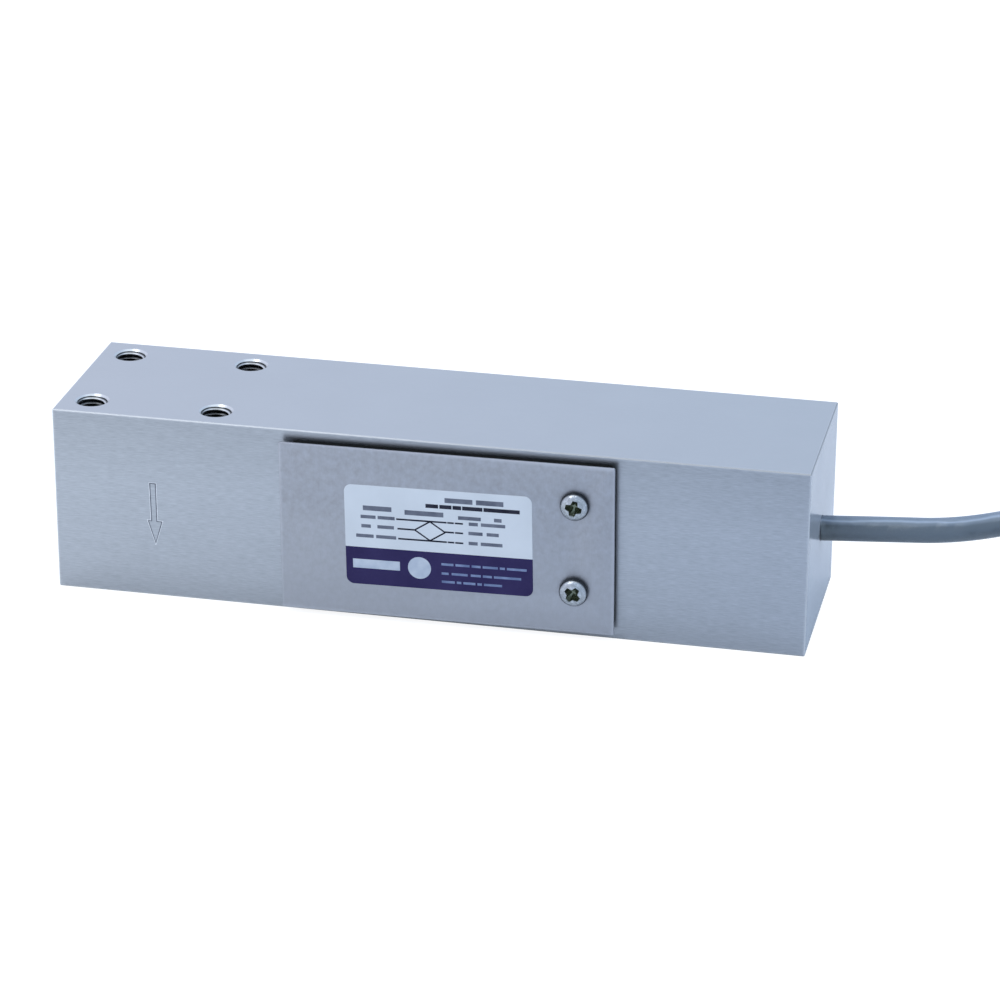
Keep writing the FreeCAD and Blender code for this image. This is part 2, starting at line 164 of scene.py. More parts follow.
# Label: its sheet, then its plain shapes as (height, width, spans) in millimetres from its centre
LABEL_SIZE = (37.2, 21.0)
LABEL_CENTER = (3.3, 18.5)
LABEL_TURN = 1.1
LABEL_CORNER = 1.5
FILM_LEVELS = ((0.0, 0.0), (0.0, 0.07), (-0.05, 0.12))
INK_DEPTHS = (0.11, 0.135)
BRIDGE = ((-4.65, 1.85), (-1.6, 3.8), (1.4, 1.75), (-1.65, -0.2))
BRIDGE_WIDTH = 0.3
DISC = (-3.9, -6.15, 2.3)
INK_ROWS = {
    "label_ink": (
        (7.1, 0.8, ((-2.4, 0.1), (0.35, 2.75), (2.95, 4.65), (4.85, 8.85), (9.05, 16.2))),
        (3.85, 0.34, ((-8.3, 1.7), (1.85, 3.15), (3.35, 4.95))),
        (1.85, 0.34, ((-8.1, -4.7), (1.35, 3.15), (3.35, 4.95))),
        (-0.25, 0.34, ((-8.0, 1.7), (1.85, 3.15), (3.35, 4.95))),
    ),
    "label_soft_ink": (
        (8.5, 1.0, ((1.4, 6.9), (7.6, 13.0))),
        (5.75, 1.0, ((-14.9, -9.2),)),
        (5.4, 1.0, ((-6.6, 1.1),)),
        (5.05, 0.75, ((4.0, 8.5), (11.1, 12.6))),
        (3.9, 0.7, ((-15.4, -12.4), (-12.0, -8.6), (6.1, 7.9), (8.5, 13.3))),
        (1.95, 0.7, ((-15.3, -13.4), (-12.1, -8.8), (6.0, 8.8), (9.6, 12.0))),
        (-0.15, 0.7, ((-16.4, -12.9), (-12.4, -8.4), (6.0, 7.8), (8.4, 12.7))),
    ),
    "label_pale_ink": ((-6.1, 1.9, ((-17.2, -7.8),)),),
    "label_blue_ink": (
        (-5.0, 0.5, ((0.5, 2.9), (3.3, 6.1), (6.5, 8.3), (8.7, 11.7), (12.1, 13.1), (13.5, 17.4))),
        (-6.95, 0.5, ((0.5, 1.9), (2.5, 5.7), (6.3, 8.3), (8.7, 10.5), (10.9, 16.3))),
        (-8.7, 0.5, ((0.5, 3.1), (3.5, 4.4), (4.8, 7.2), (7.6, 8.5), (8.9, 12.5))),
    ),
}

# Engraved arrow: its outline on the front face, then (outward, width, height, finish) of its lines
ARROW = (
    (-55.45, 24.0),
    (-54.3, 24.0),
    (-54.22, 15.95),
    (-53.2, 15.95),
    (-54.58, 11.3),
    (-56.0, 16.0),
    (-55.3, 16.0),
)
ARROW_SINK = 0.01
MITRE_LIMIT = 2.5
ARROW_LINES = {
    "load_arrow_groove": (0.0, 0.22, 0.012, "groove_metal"),
    "load_arrow_burr": (0.16, 0.1, 0.02, "burr_metal"),
}

NODE_FINISHES = {
    "beam": "bar_aluminium",
    "front_sealant": "sealant_rubber",
    "rear_sealant": "sealant_rubber",
    "terminal_board": "board_laminate",
    "solder_pads": "solder",
    "zero_trim_resistor": "resistor_body",
    "span_trim_resistor": "resistor_body",
    "cable_crimp": "crimp_brass",
    "cable_in_bar": "cable_jacket",
}
for end in ("load_end", "cable_end"):
    for level in ("lower", "upper"):
        NODE_FINISHES["strain_gauge_" + end + "_" + level] = "gauge_film"
        NODE_FINISHES["gauge_wires_" + end + "_" + level] = "wire_enamel"
for colour in LEAD_COLOURS:
    NODE_FINISHES["core_" + colour] = "core_" + colour


def length_property(name, text, value):
    return FloatProperty(
        name=name, description=text, default=value, min=0.0, subtype="DISTANCE", unit="LENGTH"
    )


def colour_property(name, text, value):
    return FloatVectorProperty(
        name=name, description=text, default=value, min=0.0, max=1.0, size=3, subtype="COLOR"
    )


class LoadCellSizes(bpy.types.PropertyGroup):
    cable_diameter: length_property("Cable Diameter", "Diameter of the lead's jacket", 0.005)
    thread_radius: length_property("Thread Radius", "Outer radius of the tapped holes", 0.00302)
    thread_crest: length_property("Thread Crest", "Radius of the thread's inner edge", 0.00246)
    thread_pitch: length_property("Thread Pitch", "Rise of the thread in one turn", 0.001)
    thread_turns: IntProperty(
        name="Thread Turns", description="Turns of thread in each hole", default=13, min=1
    )
    screw_head: length_property("Screw Head", "Radius of the cover screws' heads", 0.00285)
    label_band: length_property("Label Band", "Height of the label's dark field", 0.0079)
    strap_width: length_property("Strap Width", "Width of the strap round the hank", 0.008)
    strap_thickness: length_property("Strap Thickness", "Thickness of the strap", 0.0007)


class LoadCellColours(bpy.types.PropertyGroup):
    aluminium: colour_property("Aluminium", "Colour of the bar", (0.64, 0.645, 0.64))
    # The brushed sides and ground ends are darker and bluer than the top: partly their finish, partly painted
    # shade.
    brushed: colour_property("Brushed Sides", "Colour of the bar's brushed sides", (0.435, 0.449, 0.469))
    ground: colour_property("Ground Ends", "Colour of the bar's ground ends", (0.366, 0.390, 0.420))
    steel: colour_property("Cover Steel", "Colour of the covers", (0.385, 0.389, 0.408))
    screw: colour_property("Screw Steel", "Colour of the plated screws", (0.52, 0.54, 0.555))
    # The gaskets are nearly black: partly black rubber, partly painted shade of the gap behind the covers.
    rubber: colour_property("Rubber", "Colour of the gaskets", (0.008, 0.008, 0.007))
    label: colour_property("Label Film", "Colour of the label's upper field", (0.68, 0.70, 0.71))
    band: colour_property("Label Band", "Colour of the label's lower field", (0.036, 0.027, 0.094))
    jacket: colour_property("Jacket", "Colour of the lead's jacket", (0.050, 0.064, 0.071))
    strap: colour_property("Strap", "Colour of the hank's strap", (0.018, 0.019, 0.021))


def sizes():
    return bpy.context.scene.load_cell_sizes


def colours():
    return bpy.context.scene.load_cell_colours


# Nodes


class Nodes:
    """Adds nodes to a tree; an input is a number, a colour or another node's output."""

    def __init__(self, tree):
        self.tree = tree

    def add(self, kind, values=None, **settings):
        node = self.tree.nodes.new(kind)
        for name, value in settings.items():
            setattr(node, name, value)
        for key, value in (values or {}).items():
            self.put(value, node.inputs[key])
        return node

    def make(self, kind, values=None, **settings):
        """Adds a node and gives its first output."""
        return self.add(kind, values, **settings).outputs[0]

    def put(self, value, socket):
        if isinstance(value, bpy.types.NodeSocket):
            self.tree.links.new(value, socket)
        elif socket.type == "RGBA":
            socket.default_value = (*value, 1.0)
        else:
            socket.default_value = value

    def math(self, operation, *values, **settings):
        values = dict(enumerate(values))
        return self.make("ShaderNodeMath", values, operation=operation, **settings)

    def times(self, first, *others):
        for other in others:
            first = self.math("MULTIPLY", first, other)
        return first

    def plus(self, a, b):
        return self.math("ADD", a, b)

    def minus(self, a, b):
        return self.math("SUBTRACT", a, b)

    def least(self, a, b):
        return self.math("MINIMUM", a, b)

    def most(self, a, b):
        return self.math("MAXIMUM", a, b)

    def scaled_sum(self, a, factor, b):
        """a times the factor, plus b."""
        return self.math("MULTIPLY_ADD", a, factor, b)

    def between(self, value, low, high):
        return self.times(self.math("GREATER_THAN", value, low), self.math("LESS_THAN", value, high))

    def vector(self, operation, *values):
        return self.make("ShaderNodeVectorMath", dict(enumerate(values)), operation=operation)

    def stretch(self, vector, scale):
        values = {0: vector, "Scale": scale}
        return self.make("ShaderNodeVectorMath", values, operation="SCALE")

    def split(self, vector):
        return self.add("ShaderNodeSeparateXYZ", {0: vector}).outputs

    def joined(self, x, y, z):
        return self.make("ShaderNodeCombineXYZ", {0: x, 1: y, 2: z})

    def coordinates(self):
        return self.add("ShaderNodeTexCoord").outputs

    def noise(self, vector, scale, detail=3.0, roughness=0.5):
        values = {"Vector": vector, "Scale": scale, "Detail": detail, "Roughness": roughness}
        return self.add("ShaderNodeTexNoise", values).outputs["Fac"]

    def spread(self, value, low, high, new_low=0.0, new_high=1.0):
        """Maps low to new_low and high to new_high, and stops there."""
        values = {"Value": value, "From Min": low, "From Max": high, "To Min": new_low, "To Max": new_high}
        return self.add("ShaderNodeMapRange", values, clamp=True).outputs["Result"]

    def blend(self, factor, a, b, mode="MIX"):
        node = self.add("ShaderNodeMix", data_type="RGBA", blend_type=mode)
        for value, index in ((factor, 0), (a, 6), (b, 7)):
            self.put(value, node.inputs[index])
        return node.outputs[2]

    def mix(self, factor, a, b):
        return self.make("ShaderNodeMix", {0: factor, 2: a, 3: b})


def cleared(block):
    """The node tree of a material or world, with nothing in it."""
    block.use_nodes = True
    block.node_tree.nodes.clear()
    return block.node_tree


SOCKET_KINDS = {float: "Float", int: "Int", tuple: "Vector"}
ORIGIN = (0.0, 0.0, 0.0)


def new_tree(name, inputs, outputs, kind="Shader"):
    """Node group with named sockets; an input has its default or, in words, its kind."""
    tree = bpy.data.node_groups.new(name, kind + "NodeTree")
    for label, value in inputs.items():
        word = SOCKET_KINDS.get(type(value), value)
        socket = tree.interface.new_socket(name=label, in_out="INPUT", socket_type="NodeSocket" + word)
        if word != value:
            socket.default_value = value
    word = "Float" if kind == "Shader" else "Geometry"
    for label in outputs:
        tree.interface.new_socket(name=label, in_out="OUTPUT", socket_type="NodeSocket" + word)
    nodes = Nodes(tree)
    return nodes, nodes.add("NodeGroupInput").outputs, nodes.add("NodeGroupOutput").inputs


# Effects that several finishes share


def brushed_lines():
    """Fine lines along the vector's X, as left by brushing or rolling."""
    nodes, given, out = new_tree(
        "Brushed Lines",
        {"Vector": ORIGIN, "Lines Per Metre": 3000.0, "Stretch": 40.0, "Clouds Per Metre": 60.0},
        ("Lines", "Clouds"),
    )
    x, y, z = nodes.split(given["Vector"])
    stretched = nodes.joined(nodes.math("DIVIDE", x, given["Stretch"]), y, z)
    fine = nodes.noise(stretched, given["Lines Per Metre"], 2.0, 0.6)
    wide = nodes.noise(stretched, nodes.times(given["Lines Per Metre"], 0.22), 2.0, 0.5)
    nodes.put(nodes.scaled_sum(wide, 0.22, nodes.times(fine, 0.78)), out["Lines"])
    nodes.put(nodes.noise(given["Vector"], given["Clouds Per Metre"]), out["Clouds"])
    return nodes.tree


def box_edge_wear_and_light():
    """Mask along the edges of a box, broken up by noise, for wear and painted edge highlights."""
    nodes, given, out = new_tree(
        "Box Edge Wear And Light",
        {
            "Vector": ORIGIN,
            "Centre": ORIGIN,
            "Half Size": (0.05, 0.05, 0.05),
            "Width": 0.0006,
            "Breakup": 900.0,
        },
        ("Wear And Light",),
    )
    from_centre = nodes.vector("ABSOLUTE", nodes.vector("SUBTRACT", given["Vector"], given["Centre"]))
    gap = nodes.split(nodes.vector("SUBTRACT", given["Half Size"], from_centre))
    high = nodes.most(gap[0], gap[1])
    second = nodes.most(nodes.least(gap[0], gap[1]), nodes.least(high, gap[2]))
    grain = nodes.noise(given["Vector"], given["Breakup"], 3.0, 0.6)
    reach = nodes.times(given["Width"], nodes.scaled_sum(grain, 1.6, 0.2))
    near = nodes.math("SUBTRACT", 1.0, nodes.math("DIVIDE", second, reach), use_clamp=True)
    nodes.put(near, out["Wear And Light"])
    return nodes.tree


def settled_dust():
    """Mask of settled dust: thicker where the surface faces up."""
    nodes, given, out = new_tree(
        "Settled Dust", {"Vector": ORIGIN, "Amount": 0.2, "Specks Per Metre": 1500.0}, ("Dust",)
    )
    up = nodes.spread(nodes.split(nodes.coordinates()["Normal"])[2], -0.2, 1.0, 0.25, 1.0)
    specks = nodes.noise(given["Vector"], given["Specks Per Metre"], 2.0, 0.6)
    drifts = nodes.noise(given["Vector"], nodes.times(given["Specks Per Metre"], 0.03))
    mask = nodes.times(nodes.spread(specks, 0.52, 0.75), nodes.spread(drifts, 0.35, 0.7))
    nodes.put(nodes.times(mask, up, given["Amount"]), out["Dust"])
    return nodes.tree


def fine_grain():
    """Moulded or cast grain: small pits on a soft unevenness."""
    nodes, given, out = new_tree(
        "Fine Grain", {"Vector": ORIGIN, "Grains Per Metre": 4000.0, "Softness": 0.5}, ("Grain", "Tone")
    )
    small = nodes.noise(given["Vector"], given["Grains Per Metre"], 2.0, given["Softness"])
    large = nodes.noise(given["Vector"], nodes.times(given["Grains Per Metre"], 0.08))
    nodes.put(nodes.scaled_sum(large, 0.6, nodes.times(small, 0.4)), out["Grain"])
    nodes.put(large, out["Tone"])
    return nodes.tree


def strap_weave():
    """Plain weave under loops, on a UV map whose X runs along the strap."""
    nodes, given, out = new_tree(
        "Strap Weave",
        {"Vector": ORIGIN, "Threads Along": 260.0, "Threads Across": 16.0},
        ("Weave", "Loops"),
    )
    u, v, _ = nodes.split(given["Vector"])
    along = nodes.math("SINE", nodes.times(u, given["Threads Along"], 6.283))
    across = nodes.math("SINE", nodes.times(v, given["Threads Across"], 6.283))
    nodes.put(nodes.scaled_sum(nodes.times(along, across), 0.5, 0.5), out["Weave"])
    stretched = nodes.vector("MULTIPLY", given["Vector"], (900.0, 60.0, 1.0))
    nodes.put(nodes.noise(stretched, 1.0, 2.0, 0.7), out["Loops"])
    return nodes.tree


def shared(maker):
    """The node group that a maker makes, made once and named as the maker."""
    name = maker.__name__.replace("_", " ").title()
    return bpy.data.node_groups.get(name) or maker()


# Finishes

# Noise keeps to its middle, so a mask spreads one of these parts of it
WIDE = (0.3, 0.7)
NARROW = (0.35, 0.65)

# How far a face's normal has to lie along an axis to count as square to it
SQUARE = (0.8, 0.95)

DUST_GREY = (0.34, 0.35, 0.35)
COVER_DUST = (0.42, 0.41, 0.38)
JACKET_DUST = (0.36, 0.38, 0.38)
STRAP_DUST = (0.22, 0.22, 0.21)
BROWN_STAIN = (0.96, 0.945, 0.93)
BLUE_STAIN = (1.11, 1.115, 1.13)
# Painted shade deep in the tapped holes
HOLE_SHADE = (0.03, 0.03, 0.03)
# Painted shade on the thread deeper in the hole
THREAD_SHADE = (0.02, 0.02, 0.02)
# Painted shade in the thread's roots
GROOVE_SHADE = (0.05, 0.055, 0.055)
# Painted shade in the screws' recess
RECESS_SHADE = (0.15, 0.17, 0.11)
# Painted shade under the screws' rims
RIM_SHADE = (0.03, 0.035, 0.04)
# Dark olive at the lead's root: partly a potting stain, partly painted shade
ROOT_STAIN_AND_SHADE = (0.014, 0.018, 0.009)
# Painted light on the lead's upper side
JACKET_TOP_LIGHT = (0.21, 0.26, 0.33)
# Painted highlight along the lead's upper flank
JACKET_HIGHLIGHT = (0.48, 0.57, 0.68)
JACKET_TINT = (0.82, 0.92, 1.0)


def tinted(colour, factor):
    return tuple(min(1.0, part * factor) for part in colour)


class Paint(Nodes):
    """New material whose colour is laid coat by coat on a Principled surface."""

    def __init__(self, name):
        self.material = bpy.data.materials.new(name)
        super().__init__(cleared(self.material))
        surface = self.add("ShaderNodeBsdfPrincipled")
        self.put(surface.outputs[0], self.add("ShaderNodeOutputMaterial").inputs["Surface"])
        self.surface = surface.inputs
        self.place = self.coordinates()["Object"]
        self.colour = None

    def effect(self, maker, vector=None, **values):
        """Places a shared effect; each keyword is an input's name in small letters."""
        given = {key.replace("_", " ").title(): value for key, value in values.items()}
        given["Vector"] = self.place if vector is None else vector
        return self.add("ShaderNodeGroup", given, node_tree=shared(maker)).outputs

    def give(self, name, value):
        self.put(value, self.surface[name])

    def coat(self, mask, colour, mode="MIX"):
        self.colour = self.blend(mask, self.colour, colour, mode)

    def dust(self, amount, specks, colour):
        self.coat(self.effect(settled_dust, amount=amount, specks_per_metre=specks)[0], colour)

    def roughness(self, noise, low, high):
        self.give("Roughness", self.spread(noise, *WIDE, low, high))

    def relief(self, height, strength, distance):
        values = {"Height": height, "Strength": strength, "Distance": distance}
        self.give("Normal", self.make("ShaderNodeBump", values))

    def squares(self, a, b):
        return self.plus(self.times(a, a), self.times(b, b))

    def hole_squares(self):
        """Square of the distance from the nearest tapped hole's axis."""
        x, y, _ = self.split(self.vector("ABSOLUTE", self.place))
        from_centre = self.math("ABSOLUTE", self.minus(x, HOLE_CENTER_X * MM))
        dx = self.minus(from_centre, HOLE_HALF_PITCH * MM)
        return self.squares(dx, self.minus(y, HOLE_HALF_PITCH * MM))

    def hole_depths(self, within, first, last):
        """Mask in the tapped holes: none at the mouth, full from the last depth on."""
        z = self.split(self.place)[2]
        depth = self.least(z, self.minus(BAR_SIDE * MM, z))
        return self.times(within, self.spread(depth, first, last))


def bar_aluminium(paint):
    """Brushed sides, a finer top and underside, and ends that are nearly polished."""
    base = colours().aluminium
    sides = colours().brushed
    ground = colours().ground
    facing = paint.split(paint.vector("ABSOLUTE", paint.coordinates()["Normal"]))
    end = paint.spread(facing[0], *SQUARE)
    level = paint.spread(facing[2], *SQUARE)
    lines, clouds = paint.effect(brushed_lines, lines_per_metre=5000.0, stretch=10.0, clouds_per_metre=55.0)
    along, _, height = paint.split(paint.place)
    low = paint.spread(height, 0.013, 0.025, 1.0, 0.0)
    calm = paint.blend(paint.spread(clouds, *WIDE), tinted(base, 0.94), tinted(base, 0.98))
    # Painted light: the ends are painted lighter towards the bottom.
    calm = paint.blend(end, calm, paint.blend(low, ground, tinted(ground, 1.25)))
    # Painted shade on the sides: darker towards the top edge and at the foot, a little lighter between.
    shoulder_shade = paint.spread(height, 0.024, 0.038, 1.04, 0.91)
    foot_shade = paint.spread(height, 0.0, 0.006, 0.91, 1.0)
    # Sides darker and bluer than the top: partly the brushing, partly painted shade.
    paint.colour = paint.blend(paint.spread(lines, *WIDE), tinted(sides, 0.87), tinted(sides, 1.12))
    paint.coat(1.0, paint.times(shoulder_shade, foot_shade), "MULTIPLY")
    # Top, underside and ends take their own colours: partly their finish, partly painted light and shade.
    paint.coat(paint.times(paint.most(end, level), 0.85), calm)
    half = BAR_SIDE * MM / 2
    edge_wear_and_light = paint.effect(
        box_edge_wear_and_light,
        centre=(0.0, 0.0, half),
        half_size=(BAR_LENGTH * MM / 2, half, half),
        width=0.0005,
        breakup=700.0,
    )[0]
    # Lighter edges of the bar: partly wear, partly a painted highlight.
    paint.coat(paint.times(edge_wear_and_light, 0.35), tinted(base, 1.2))
    # Painted shade and light on the slanted edge faces: the level edges dimmed, more towards the right, and
    # the upright edges lightened, more towards the top.
    largest = paint.most(facing[0], paint.most(facing[1], facing[2]))
    slanted = paint.spread(largest, 0.75, 0.93, 1.0, 0.0)
    bevel = paint.times(slanted, paint.spread(edge_wear_and_light, 0.05, 0.4))
    upright = paint.spread(facing[2], 0.2, 0.5, 1.0, 0.0)
    level_edge = paint.blend(paint.spread(along, -0.02, 0.03), tinted(base, 0.88), tinted(base, 0.67))
    upright_edge = paint.blend(low, tinted(base, 1.25), tinted(base, 1.04))
    paint.coat(bevel, paint.blend(upright, level_edge, upright_edge))
    in_holes = paint.math("LESS_THAN", paint.hole_squares(), (HOLE_REACH * MM) ** 2)
    # Painted highlight on the slanted mouths of the tapped holes.
    paint.coat(paint.times(in_holes, slanted), tinted(base, 1.12))
    # Painted shade: the tapped holes darken with depth.
    paint.coat(paint.hole_depths(in_holes, 0.0006, 0.0014), HOLE_SHADE)
    brushed = paint.spread(lines, *WIDE, 0.35, 0.29)
    roughness = paint.mix(level, brushed, paint.spread(clouds, *WIDE, 0.30, 0.34))
    roughness = paint.mix(end, roughness, paint.spread(clouds, *WIDE, 0.19, 0.24))
    paint.give("Roughness", paint.mix(bevel, roughness, 0.5))
    calmer = paint.most(end, paint.times(level, 0.9))
    paint.relief(paint.times(lines, paint.minus(1.0, calmer)), 0.22, 0.00004)
    paint.give("Metallic", paint.scaled_sum(end, -0.86, 1.0))
    paint.give("Specular IOR Level", paint.scaled_sum(end, -0.42, 0.5))


def cover_steel(paint):
    """Satin rolled sheet, stained, a little warmer and darker than the bar."""
    base = colours().steel
    upright = {"Vector": paint.place, "Rotation": (0.0, math.pi / 2, 0.0)}
    lines, clouds = paint.effect(
        brushed_lines,
        paint.make("ShaderNodeMapping", upright),
        lines_per_metre=4200.0,
        stretch=6.0,
        clouds_per_metre=70.0,
    )
    paint.colour = paint.blend(paint.spread(lines, *WIDE), tinted(base, 0.95), tinted(base, 1.04))
    paint.coat(paint.times(paint.spread(clouds, *NARROW), 0.35), tinted(base, 0.96))
    stains = paint.spread(paint.noise(paint.place, 750.0, 3.0, 0.6), *WIDE)
    paint.coat(1.0, paint.blend(stains, BROWN_STAIN, BLUE_STAIN), "MULTIPLY")
    edge_wear_and_light = paint.effect(
        box_edge_wear_and_light,
        centre=(COVER_CENTER[0] * MM, 0.0, COVER_CENTER[1] * MM),
        half_size=(COVER_SIZE[0] * MM / 2, COVER_FACE_Y * MM, COVER_SIZE[1] * MM / 2),
        width=0.0006,
        breakup=1100.0,
    )[0]
    # Painted light: the cover is lighter towards the bottom.
    paint.coat(paint.spread(paint.split(paint.place)[2], 0.003, 0.024, 0.55, 0.0), tinted(base, 1.22))
    # Lighter edges of the cover: partly wear, partly a painted highlight.
    paint.coat(paint.times(edge_wear_and_light, 0.6), tinted(base, 1.4))
    paint.dust(0.12, 2200.0, COVER_DUST)
    paint.roughness(clouds, 0.40, 0.48)
    paint.relief(lines, 0.25, 0.00003)
    paint.give("Metallic", 1.0)


def screw_steel(paint):
    """Bright, uneven zinc plate, with painted shade in the recess and under the rim."""
    base = colours().screw
    grain, tone = paint.effect(fine_grain, grains_per_metre=5200.0, softness=0.55)
    dents = paint.noise(paint.place, 1400.0, 2.0, 0.6)
    paint.colour = paint.blend(paint.spread(tone, *WIDE), tinted(base, 0.74), tinted(base, 0.96))
    paint.coat(paint.spread(dents, 0.5, 0.72), tinted(base, 1.3))
    x, out, z = paint.split(paint.vector("ABSOLUTE", paint.place))
    gaps = [paint.math("ABSOLUTE", paint.minus(z, height * MM)) for height in SCREW_HEIGHTS]
    from_axis = paint.math("SQRT", paint.squares(paint.minus(x, SCREW_X * MM), paint.least(*gaps)))
    # Painted shade in the recess.
    sunk = paint.spread(out, (COVER_FACE_Y + 1.45) * MM, (COVER_FACE_Y + 1.68) * MM, 1.0, 0.0)
    paint.coat(paint.times(sunk, paint.spread(from_axis, 0.0018, 0.0020, 1.0, 0.0), 0.9), RECESS_SHADE)
    # Painted shade under the rim, next to the cover.
    low = paint.spread(out, (COVER_FACE_Y + 0.95) * MM, (COVER_FACE_Y + 1.25) * MM, 1.0, 0.0)
    paint.coat(paint.times(low, paint.spread(from_axis, 0.0024, 0.0026), 0.95), RIM_SHADE)
    paint.roughness(grain, 0.20, 0.36)
    paint.relief(paint.scaled_sum(dents, 2.2, grain), 0.5, 0.00008)
    paint.give("Metallic", 1.0)


def thread_aluminium(paint):
    """Cut thread, a little darker than the bar, with painted shade in its roots and further down the hole."""
    base = colours().aluminium
    grain, tone = paint.effect(fine_grain, grains_per_metre=4500.0, softness=0.6)
    paint.colour = paint.blend(paint.spread(tone, *NARROW), tinted(base, 0.85), tinted(base, 1.15))
    squares = paint.hole_squares()
    # Painted shade in the thread's roots, at its outer radius.
    paint.coat(paint.spread(paint.math("SQRT", squares), 0.00262, 0.00282), GROOVE_SHADE)
    in_holes = paint.math("LESS_THAN", squares, (HOLE_REACH * MM) ** 2)
    # Painted shade: the thread darkens further down the hole.
    paint.coat(paint.hole_depths(in_holes, 0.0013, 0.0023), THREAD_SHADE)
    paint.roughness(grain, 0.22, 0.36)
    paint.give("Metallic", 1.0)


def cable_jacket(paint):
    """Soft grey jacket with an uneven skin, with painted shade and a stain where it leaves the bar, painted
    light on its top and a painted highlight.
    """
    base = colours().jacket
    grain, tone = paint.effect(fine_grain, grains_per_metre=2600.0, softness=0.5)
    paint.colour = paint.blend(paint.spread(tone, *WIDE), tinted(base, 0.9), tinted(base, 1.1))
    along = paint.split(paint.place)[0]
    # Painted shade on the lead near the bar, fading out along it.
    paint.coat(paint.spread(along, 0.078, 0.098, 0.75, 0.0), tinted(base, 0.25))
    # Dark olive at the root, broken up by noise: partly a potting stain, partly painted shade.
    root = paint.spread(along, 0.0755, 0.0815, 0.9, 0.0)
    rubbed = paint.spread(paint.noise(paint.place, 500.0, 3.0, 0.6), 0.3, 0.6, 0.7, 1.3)
    paint.coat(paint.math("MULTIPLY", root, rubbed, use_clamp=True), ROOT_STAIN_AND_SHADE)
    swell = paint.noise(paint.place, 150.0, 2.0, 0.4)
    # Painted light: the upper side of the lead is lighter, with a wavy edge.
    upward = paint.scaled_sum(swell, 0.3, paint.split(paint.coordinates()["Normal"])[2])
    paint.coat(paint.spread(upward, 0.74, 1.04, 0.0, 0.7), JACKET_TOP_LIGHT)
    # Painted highlight: a wavy pale streak along the upper flank of the lead.
    crest = paint.times(paint.spread(upward, 0.95, 1.03), paint.spread(upward, 1.03, 1.10, 0.5, 0.0))
    paint.coat(crest, JACKET_HIGHLIGHT)
    paint.dust(0.18, 1800.0, JACKET_DUST)
    paint.roughness(grain, 0.30, 0.38)
    paint.relief(paint.scaled_sum(swell, 16.0, grain), 0.5, 0.00016)
    paint.give("Specular IOR Level", 1.0)
    paint.give("Specular Tint", JACKET_TINT)
    paint.give("IOR", 1.75)


def strap_fabric(paint):
    """Loop tape: a weave under short loops."""
    base = colours().strap
    uv = paint.make("ShaderNodeUVMap", uv_map="strap")
    weave, loops = paint.effect(strap_weave, uv, threads_along=170.0, threads_across=9.0)
    paint.colour = paint.blend(weave, tinted(base, 0.7), tinted(base, 1.7))
    paint.coat(paint.spread(loops, 0.45, 0.8), tinted(base, 3.2))
    paint.dust(0.5, 2600.0, STRAP_DUST)
    paint.roughness(loops, 0.78, 0.92)
    paint.relief(paint.scaled_sum(loops, 0.8, weave), 0.8, 0.00015)
    paint.give("Sheen Weight", 0.25)
    paint.give("Sheen Roughness", 0.5)


